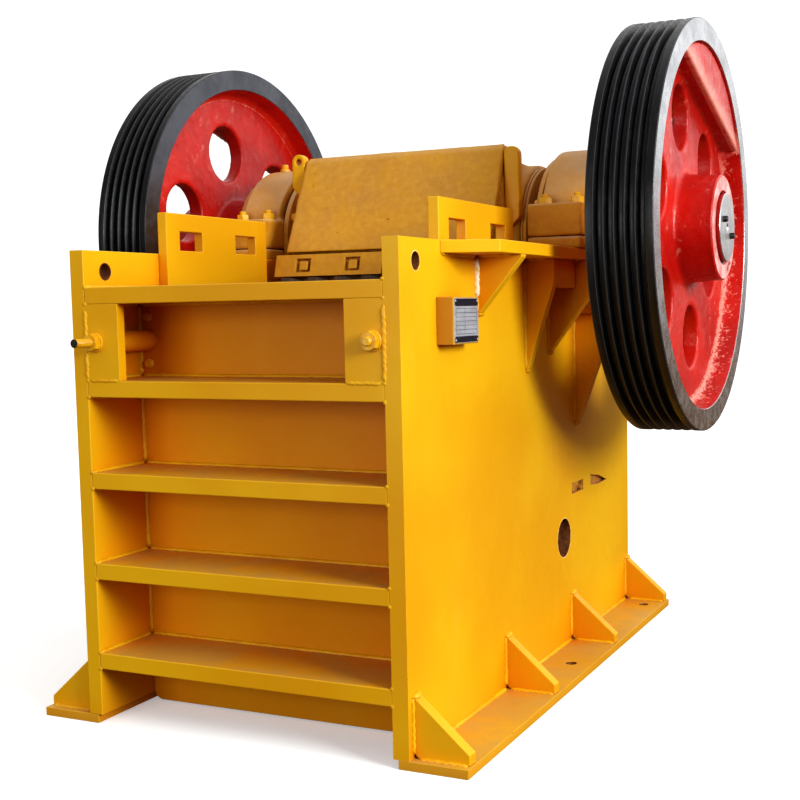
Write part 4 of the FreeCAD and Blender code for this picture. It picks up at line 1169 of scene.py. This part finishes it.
def red_enamel(name, chalk_and_sheen_amount=1.0):
    """Glossy red enamel on a rough casting, chalky where it is rubbed and scratched, with a painted
    pale sheen on the balance weight's face by its chord and a painted highlight along the web's
    fillet on one side, and painted shade in its corners.
    """
    paint = Finish(name)
    drift = paint.step(paint.cloud(5.0, 3.0), 0.35, 0.65)
    colour = paint.blend(drift, red, deep_red)
    # Painted shade: the red goes dark in inside corners.
    grime_and_corner_shade = paint.step(paint.corners(0.05), 0.30, 0.95, 0.0, 0.8)
    colour = paint.blend(grime_and_corner_shade, colour, (0.110, 0.004, 0.003, 1.0))
    streak = paint.step(paint.cloud(30.0, 6.0, 0.75, (1.0, 1.0, 0.6)), 0.56, 0.68, 0.0, 0.50)
    region = paint.step(paint.cloud(4.5, 2.0), 0.42, 0.60)
    chalk_and_sheen = paint.sum("MULTIPLY", streak, region)
    edge = paint.edges(0.007)
    rubbed = paint.step(paint.cloud(52.0, 5.0, 0.7), 0.36, 0.60, 0.0, 0.95)
    chalk_and_sheen = paint.sum("MAXIMUM", chalk_and_sheen, paint.sum("MULTIPLY", edge, rubbed))
    # Painted sheen: a pale band on the balance weight's outer face, fading away from its chord
    # edge.
    way = (0.0, math.cos(chord_angle), math.sin(chord_angle))
    middle = paint.add("ShaderNodeVectorMath", {0: paint.place, 1: (0.0, shaft_y, shaft_z)},
                       operation="SUBTRACT").outputs[0]
    reach = paint.add("ShaderNodeVectorMath", {0: middle, 1: way},
                      operation="DOT_PRODUCT").outputs["Value"]
    ragged = paint.sum("MULTIPLY", paint.cloud(38.0, 5.0, 0.75), 0.050)
    beyond = paint.sum("ADD", paint.sum("SUBTRACT", reach, chord_reach), ragged)
    weight_face_sheen = paint.step(beyond, 0.085, 0.030, 0.0, 0.80)
    out_from_middle = paint.sum(
        "ABSOLUTE", paint.add("ShaderNodeSeparateXYZ", {0: paint.place}).outputs["X"], 0.0)
    on_weight = paint.sum("MULTIPLY", paint.sum("GREATER_THAN", out_from_middle, weight_face),
                          paint.sum("GREATER_THAN", beyond, 0.020))
    chalk_and_sheen = paint.sum("MAXIMUM", chalk_and_sheen, paint.sum("MULTIPLY", weight_face_sheen, on_weight))
    # Painted highlight: a ragged pale band along the web's fillet, on the low rear side only.
    flat = paint.add("ShaderNodeVectorMath", {0: middle, 1: (0.0, 1.0, 1.0)},
                     operation="MULTIPLY").outputs[0]
    radius = paint.add("ShaderNodeVectorMath", {0: flat}, operation="LENGTH").outputs["Value"]
    off_fillet = paint.sum("ABSOLUTE", paint.sum("SUBTRACT", radius, sheen_fillet_radius), 0.0)
    fillet_sheen = paint.sum("LESS_THAN", off_fillet,
                          paint.step(paint.cloud(70.0, 5.0, 0.75), 0.35, 0.70, 0.0, 0.016))
    low_rear = paint.add("ShaderNodeVectorMath", {0: middle, 1: (0.0, 0.75, -0.66)},
                         operation="DOT_PRODUCT").outputs["Value"]
    fillet_sheen = paint.sum("MULTIPLY", fillet_sheen, paint.step(low_rear, 0.10, 0.25, 0.0, 0.75))
    chalk_and_sheen = paint.sum("MULTIPLY", paint.sum("MAXIMUM", chalk_and_sheen, fillet_sheen), chalk_and_sheen_amount)
    colour = paint.blend(chalk_and_sheen, colour, chalk_and_sheen_pink)
    pits = paint.step(paint.cloud(80.0, 2.0, 0.4), 0.735, 0.76, 0.0, 0.8)
    colour = paint.blend(pits, colour, (0.130, 0.012, 0.008, 1.0))
    rough = paint.step(paint.cloud(36.0, 3.0), 0.3, 0.7, 0.26, 0.44)
    lumps = paint.relief(paint.cloud(30.0, 4.0), 0.0020)
    skin = paint.relief(paint.cloud(190.0, 4.0, 0.65), 0.0006, lumps)
    return paint.close(colour, rough, skin, specular_ior_level=0.45)


def black_tread(name):
    """Black paint in the belt grooves, polished grey on the lands."""
    paint = Finish(name)
    drift = paint.step(paint.cloud(8.0, 4.0), 0.35, 0.65)
    colour = paint.blend(drift, (0.004, 0.004, 0.005, 1.0), (0.010, 0.010, 0.012, 1.0))
    edge = paint.edges(0.0022)
    colour = paint.blend(paint.sum("MULTIPLY", edge, 0.75), colour, (0.165, 0.165, 0.180, 1.0))
    dust = paint.step(paint.cloud(30.0, 5.0), 0.58, 0.75, 0.0, 0.25)
    colour = paint.blend(dust, colour, (0.045, 0.040, 0.035, 1.0))
    rough = paint.step(paint.cloud(60.0, 3.0), 0.3, 0.7, 0.30, 0.42)
    skin = paint.relief(paint.cloud(220.0, 3.0), 0.0002)
    return paint.close(colour, rough, skin, specular_ior_level=0.3)


def thin_red(name):
    """Red enamel rubbed thin over a turned face."""
    coat = Finish(name)
    rubbed = coat.step(coat.cloud(26.0, 4.0), 0.38, 0.64, 0.20, 0.85)
    colour = coat.blend(rubbed, (0.640, 0.070, 0.050, 1.0), (0.820, 0.540, 0.530, 1.0))
    return coat.close(colour, 0.32, coat.relief(coat.cloud(300.0, 3.0), 0.0001))


wheel_red = red_enamel("wheel_red")
hub_red = red_enamel("hub_red", 0.08)
tread_black = black_tread("tread_black")
rim_steel = turned_steel("turned_rim_faces", (0.620, 0.630, 0.660, 1.0), 700.0, 0.20)
hub_face_red = thin_red("hub_face_red")
hub_steel = turned_steel("turned_hub_faces", (0.700, 0.700, 0.720, 1.0), 500.0, 0.26)
# A dark copy of the turned steel for the left rim: painted dark reflection.
rim_steel_in_shade = turned_steel("rim_faces_dark_reflection", (0.140, 0.145, 0.170, 1.0), 700.0, 0.30)
rim_low, rim_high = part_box("flywheel_rim_right")
rim_inner = rim_low.x
rim_outer = rim_high.x
wheel_radius = (rim_high.z - rim_low.z) / 2
web_middle = (rim_inner + rim_outer) / 2
rim_side_radius = 0.479


def web_fillet(side_x, direction):
    """Points of the hollow curve from the rim's inside down onto the web."""
    points = []
    for k in range(7):
        turn = math.radians(90 * k / 6)
        x = side_x + direction * fillet_reach * (1 - math.sin(turn))
        radius = web_inner_radius + 0.0012 - fillet_reach * (1 - math.cos(turn))
        points.append((x + direction * 0.0004, radius))
    return points


tread = [(rim_inner + rim_chamfer, wheel_radius)]
first_groove = web_middle - (groove_count - 1) * groove_pitch / 2
for i in range(groove_count):
    middle = first_groove + i * groove_pitch
    for hand in (-1, 1):
        half_groove = [
            (groove_top / 2 + 0.0008, 0.0), (groove_top / 2 + 0.0001, 0.0003),
            (groove_top / 2 - 0.0006, 0.0014), (groove_bottom / 2 + 0.0006, groove_depth - 0.0016),
            (groove_bottom / 2 - 0.0002, groove_depth - 0.0004),
            (groove_bottom / 2 - 0.0014, groove_depth)]
        if hand > 0:
            half_groove.reverse()
        tread += [(middle + hand * reach, wheel_radius - drop) for reach, drop in half_groove]
tread.append((rim_outer - rim_chamfer, wheel_radius))
inner_fillet = web_fillet(web_middle - web_half, -1)
outer_fillet = web_fillet(web_middle + web_half, 1)
rim_profile = (
    [(web_middle - web_half + 0.004, web_inner_radius + 0.001),
     (web_middle - web_half + 0.003, web_inner_radius - fillet_reach)]
    + list(reversed(inner_fillet))
    + [(rim_inner + 0.0012, rim_side_radius), (rim_inner, rim_side_radius + 0.0012),
       (rim_inner, wheel_radius - rim_chamfer)]
    + tread
    + [(rim_outer, wheel_radius - rim_chamfer), (rim_outer, rim_side_radius + 0.0012),
       (rim_outer - 0.0012, rim_side_radius)]
    + outer_fillet
    + [(web_middle + web_half - 0.003, web_inner_radius - fillet_reach),
       (web_middle + web_half - 0.004, web_inner_radius + 0.001)])
for side in sides:
    hand = "right" if side > 0 else "left"
    mesh = bmesh.new()
    bands = lathe(mesh, [(side * x, radius) for x, radius in rim_profile], shaft_y, shaft_z, 256)
    for number, band in enumerate(bands):
        (x0, r0), (x1, r1) = rim_profile[number], rim_profile[(number + 1) % len(rim_profile)]
        on_side = abs(x1 - x0) < 0.0013 and min(r0, r1) > rim_side_radius - 0.0001
        on_tread = (min(x0, x1) > rim_inner - 0.0001
                    and min(r0, r1) > wheel_radius - groove_depth - 0.001)
        kind = 0
        if on_side:
            kind = 1
        if on_tread and abs(x1 - x0) >= 0.0001:
            kind = 2
        for face in band:
            face.material_index = kind
    rim = finished_piece("grooved_rim_" + hand, mesh, wheel_red, "rotor", 30.0)
    # The left rim's side faces take the dark copy, a painted reflection.
    rim.data.materials.append(rim_steel if side > 0 else rim_steel_in_shade)
    rim.data.materials.append(tread_black)
    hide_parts("flywheel_rim_" + hand)
    cast_piece("web_casting_" + hand, "flywheel_disc_" + hand, 0.0059, wheel_red, "rotor",
               1, 0.0008)
    mesh = bmesh.new()
    hub_face = max(abs(corner.x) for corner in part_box("flywheel_disc_" + hand))
    collar = [(hub_root, hub_radius + 0.0006), (hub_face - 0.0035, hub_radius + 0.0006),
              (hub_face, hub_radius - 0.003), (hub_face, shaft_radius + 0.0075),
              (hub_face - 0.0060, shaft_radius + 0.0012), (hub_root, shaft_radius + 0.0012)]
    bands = lathe(mesh, [(side * x, radius) for x, radius in collar], shaft_y, shaft_z, 128)
    for face in bands[2]:
        face.material_index = 1
    collar_piece = finished_piece("hub_collar_" + hand, mesh, hub_red, "rotor", 20.0)
    collar_piece.data.materials.append(hub_face_red)
    # The shaft's end stands proud of the hub, with red enamel run over its side.
    mesh = bmesh.new()
    proud = hub_face + shaft_end_proud
    shaft_end = [(end_x - 0.003, 0.0015), (end_x - 0.003, shaft_radius - 0.001),
                 (proud - 0.0015, shaft_radius - 0.001), (proud, shaft_radius - 0.0025),
                 (proud, 0.0110), (proud - 0.008, 0.0015)]
    bands = lathe(mesh, [(side * x, radius) for x, radius in shaft_end], shaft_y, shaft_z, 128)
    for band in bands[2:5]:
        for face in band:
            face.material_index = 1
    end_piece = finished_piece("shaft_end_" + hand, mesh, hub_red, "rotor", 20.0)
    end_piece.data.materials.append(hub_steel)


# ---- Swing jaw ---------------------------------------------------------------------------
# The jaw is one heavy steel casting hung on the shaft's offset journal.  Its sloping
# guard, lugs and clamp bars are cast or cut rough and painted over the sand skin.
jaw_enamel = cast_enamel("jaw_enamel", (0.650, 0.305, 0.016, 1.0), (0.560, 0.245, 0.012, 1.0),
                         (0.780, 0.430, 0.030, 1.0), 0.30)
cast_piece("jaw_casting", "swing_jaw", 0.0095, jaw_enamel, "swing_jaw",
           3, 0.0010)
cast_piece("jaw_rib_castings", "jaw_back_ribs", 0.0085, jaw_enamel, "swing_jaw")
cast_piece("guard_casting", "jaw_guard", 0.0050, jaw_enamel, "swing_jaw",
           3, 0.0014)
cast_piece("lug_castings", "jaw_lifting_lugs", 0.0030, plate_enamel, "swing_jaw",
           3, 0.0006)
ground_edges("jaw_clamp_bars", jaw_enamel, 0.0022, 3)
ground_edges("jaw_clamp_bolts", jaw_enamel, 0.0030, 3)

# Split seal rings close the jaw's bore at each side, with a groove round their rim.
seal_bore = 0.1125
mesh = bmesh.new()
for low, high in solid_boxes("jaw_seal_rings"):
    outward = 1 if low.x > 0 else -1
    near = low.x if outward > 0 else high.x
    thick = high.x - low.x
    outer = (high.y - low.y) / 2
    face = [(0.0, seal_bore), (0.0, outer), (0.28, outer), (0.36, outer - 0.004),
            (0.56, outer - 0.004), (0.64, outer), (0.90, outer), (1.0, outer - 0.002),
            (1.0, seal_bore + 0.002), (0.9, seal_bore)]
    lathe(mesh, [(near + outward * thick * depth, radius) for depth, radius in face],
          throw_y, throw_z, 112)
rings = finished_piece("grooved_seal_rings", mesh, housing_enamel, "swing_jaw",
                       30.0)
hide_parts("jaw_seal_rings")


# ---- Floor, light and camera -------------------------------------------------------------
# A pale studio floor, one large soft lamp high on the right and a weaker one in front.
# The light all round is strongest above and behind, and warm and dim from below.
floor_mesh = bmesh.new()
bmesh.ops.create_grid(floor_mesh, x_segments=1, y_segments=1, size=60.0)
floor_data = bpy.data.meshes.new("studio_floor")
floor_mesh.to_mesh(floor_data)
floor_mesh.free()
floor = bpy.data.objects.new("studio_floor", floor_data)
bpy.context.scene.collection.objects.link(floor)
floor.location.z = -0.0005
paper = Finish("floor_paper")
paper_tone = paper.blend(paper.step(paper.cloud(3.0, 3.0), 0.3, 0.7), (0.90, 0.90, 0.90, 1.0),
                         (0.93, 0.93, 0.93, 1.0))
floor_data.materials.append(paper.close(paper_tone, 0.85, None, emission_strength=0.30))
floor.visible_diffuse = False
floor.visible_glossy = False

sky = bpy.data.worlds.new("studio_light")
bpy.context.scene.world = sky
light_all_round = Finish("studio_light", sky)
way = light_all_round.add("ShaderNodeTexCoord").outputs["Generated"]
bright_way = (0.43, 0.82, 0.37)
toward = light_all_round.add("ShaderNodeVectorMath", {0: way, 1: bright_way},
                             operation="DOT_PRODUCT").outputs["Value"]
height = light_all_round.add("ShaderNodeSeparateXYZ", {0: way}).outputs["Z"]
glow = light_all_round.step(toward, -0.5, 1.0, 0.36, 1.15)
over_ground = light_all_round.step(height, -0.06, 0.14)
tone = light_all_round.blend(over_ground, (0.150, 0.085, 0.045, 1.0), (1.0, 1.0, 1.0, 1.0))
lit = light_all_round.add("ShaderNodeBackground", {"Color": tone, "Strength": glow})
seen = light_all_round.add("ShaderNodeBackground",
                           {"Color": (1.0, 1.0, 1.0, 1.0), "Strength": 1.0})
ray = light_all_round.add("ShaderNodeLightPath").outputs["Is Camera Ray"]
both = light_all_round.add("ShaderNodeMixShader", {0: ray, 1: lit.outputs[0], 2: seen.outputs[0]})
light_all_round.add("ShaderNodeOutputWorld", {"Surface": both.outputs[0]})


def lamp(name, place, aim, power, width, height, tint):
    """A soft rectangular lamp."""
    light = bpy.data.lights.new(name, "AREA")
    light.shape = "RECTANGLE"
    light.size = width
    light.size_y = height
    light.energy = power
    light.color = tint
    stand = bpy.data.objects.new(name, light)
    bpy.context.scene.collection.objects.link(stand)
    stand.location = place
    stand.rotation_euler = (Vector(aim) - Vector(place)).to_track_quat("-Z", "Y").to_euler()


lamp("key_lamp", (4.8, -2.25, 2.25), (0.3, -0.1, 0.9), 225.0, 1.7, 1.7, (0.95, 1.0, 0.96))
lamp("front_lamp", (-0.8, -6.0, 1.4), (0.0, 0.0, 0.7), 75.0, 3.0, 2.0, (1.0, 1.0, 1.0))

camera_data = bpy.data.cameras.new("viewer")
camera = bpy.data.objects.new("viewer", camera_data)
bpy.context.scene.collection.objects.link(camera)
turn = math.radians(24.559)
dip = math.radians(5.073)
roll = math.radians(-1.033)
back = Vector((math.sin(turn) * math.cos(dip), -math.cos(turn) * math.cos(dip), math.sin(dip)))
level = (-back).cross(upward).normalized()
rise = level.cross(-back)
right = math.cos(roll) * level + math.sin(roll) * rise
top = -math.sin(roll) * level + math.cos(roll) * rise
camera.matrix_world = Matrix(((right.x, top.x, back.x, 1.551), (right.y, top.y, back.y, -3.355),
                              (right.z, top.z, back.z, 0.955), (0, 0, 0, 1)))
camera_data.sensor_width = 36.0
camera_data.lens = 55.65
camera_data.shift_x = -0.0690
camera_data.shift_y = 0.0216
bpy.context.scene.camera = camera
bpy.context.scene.view_settings.view_transform = "Standard"
bpy.context.scene.view_settings.look = "Medium High Contrast"
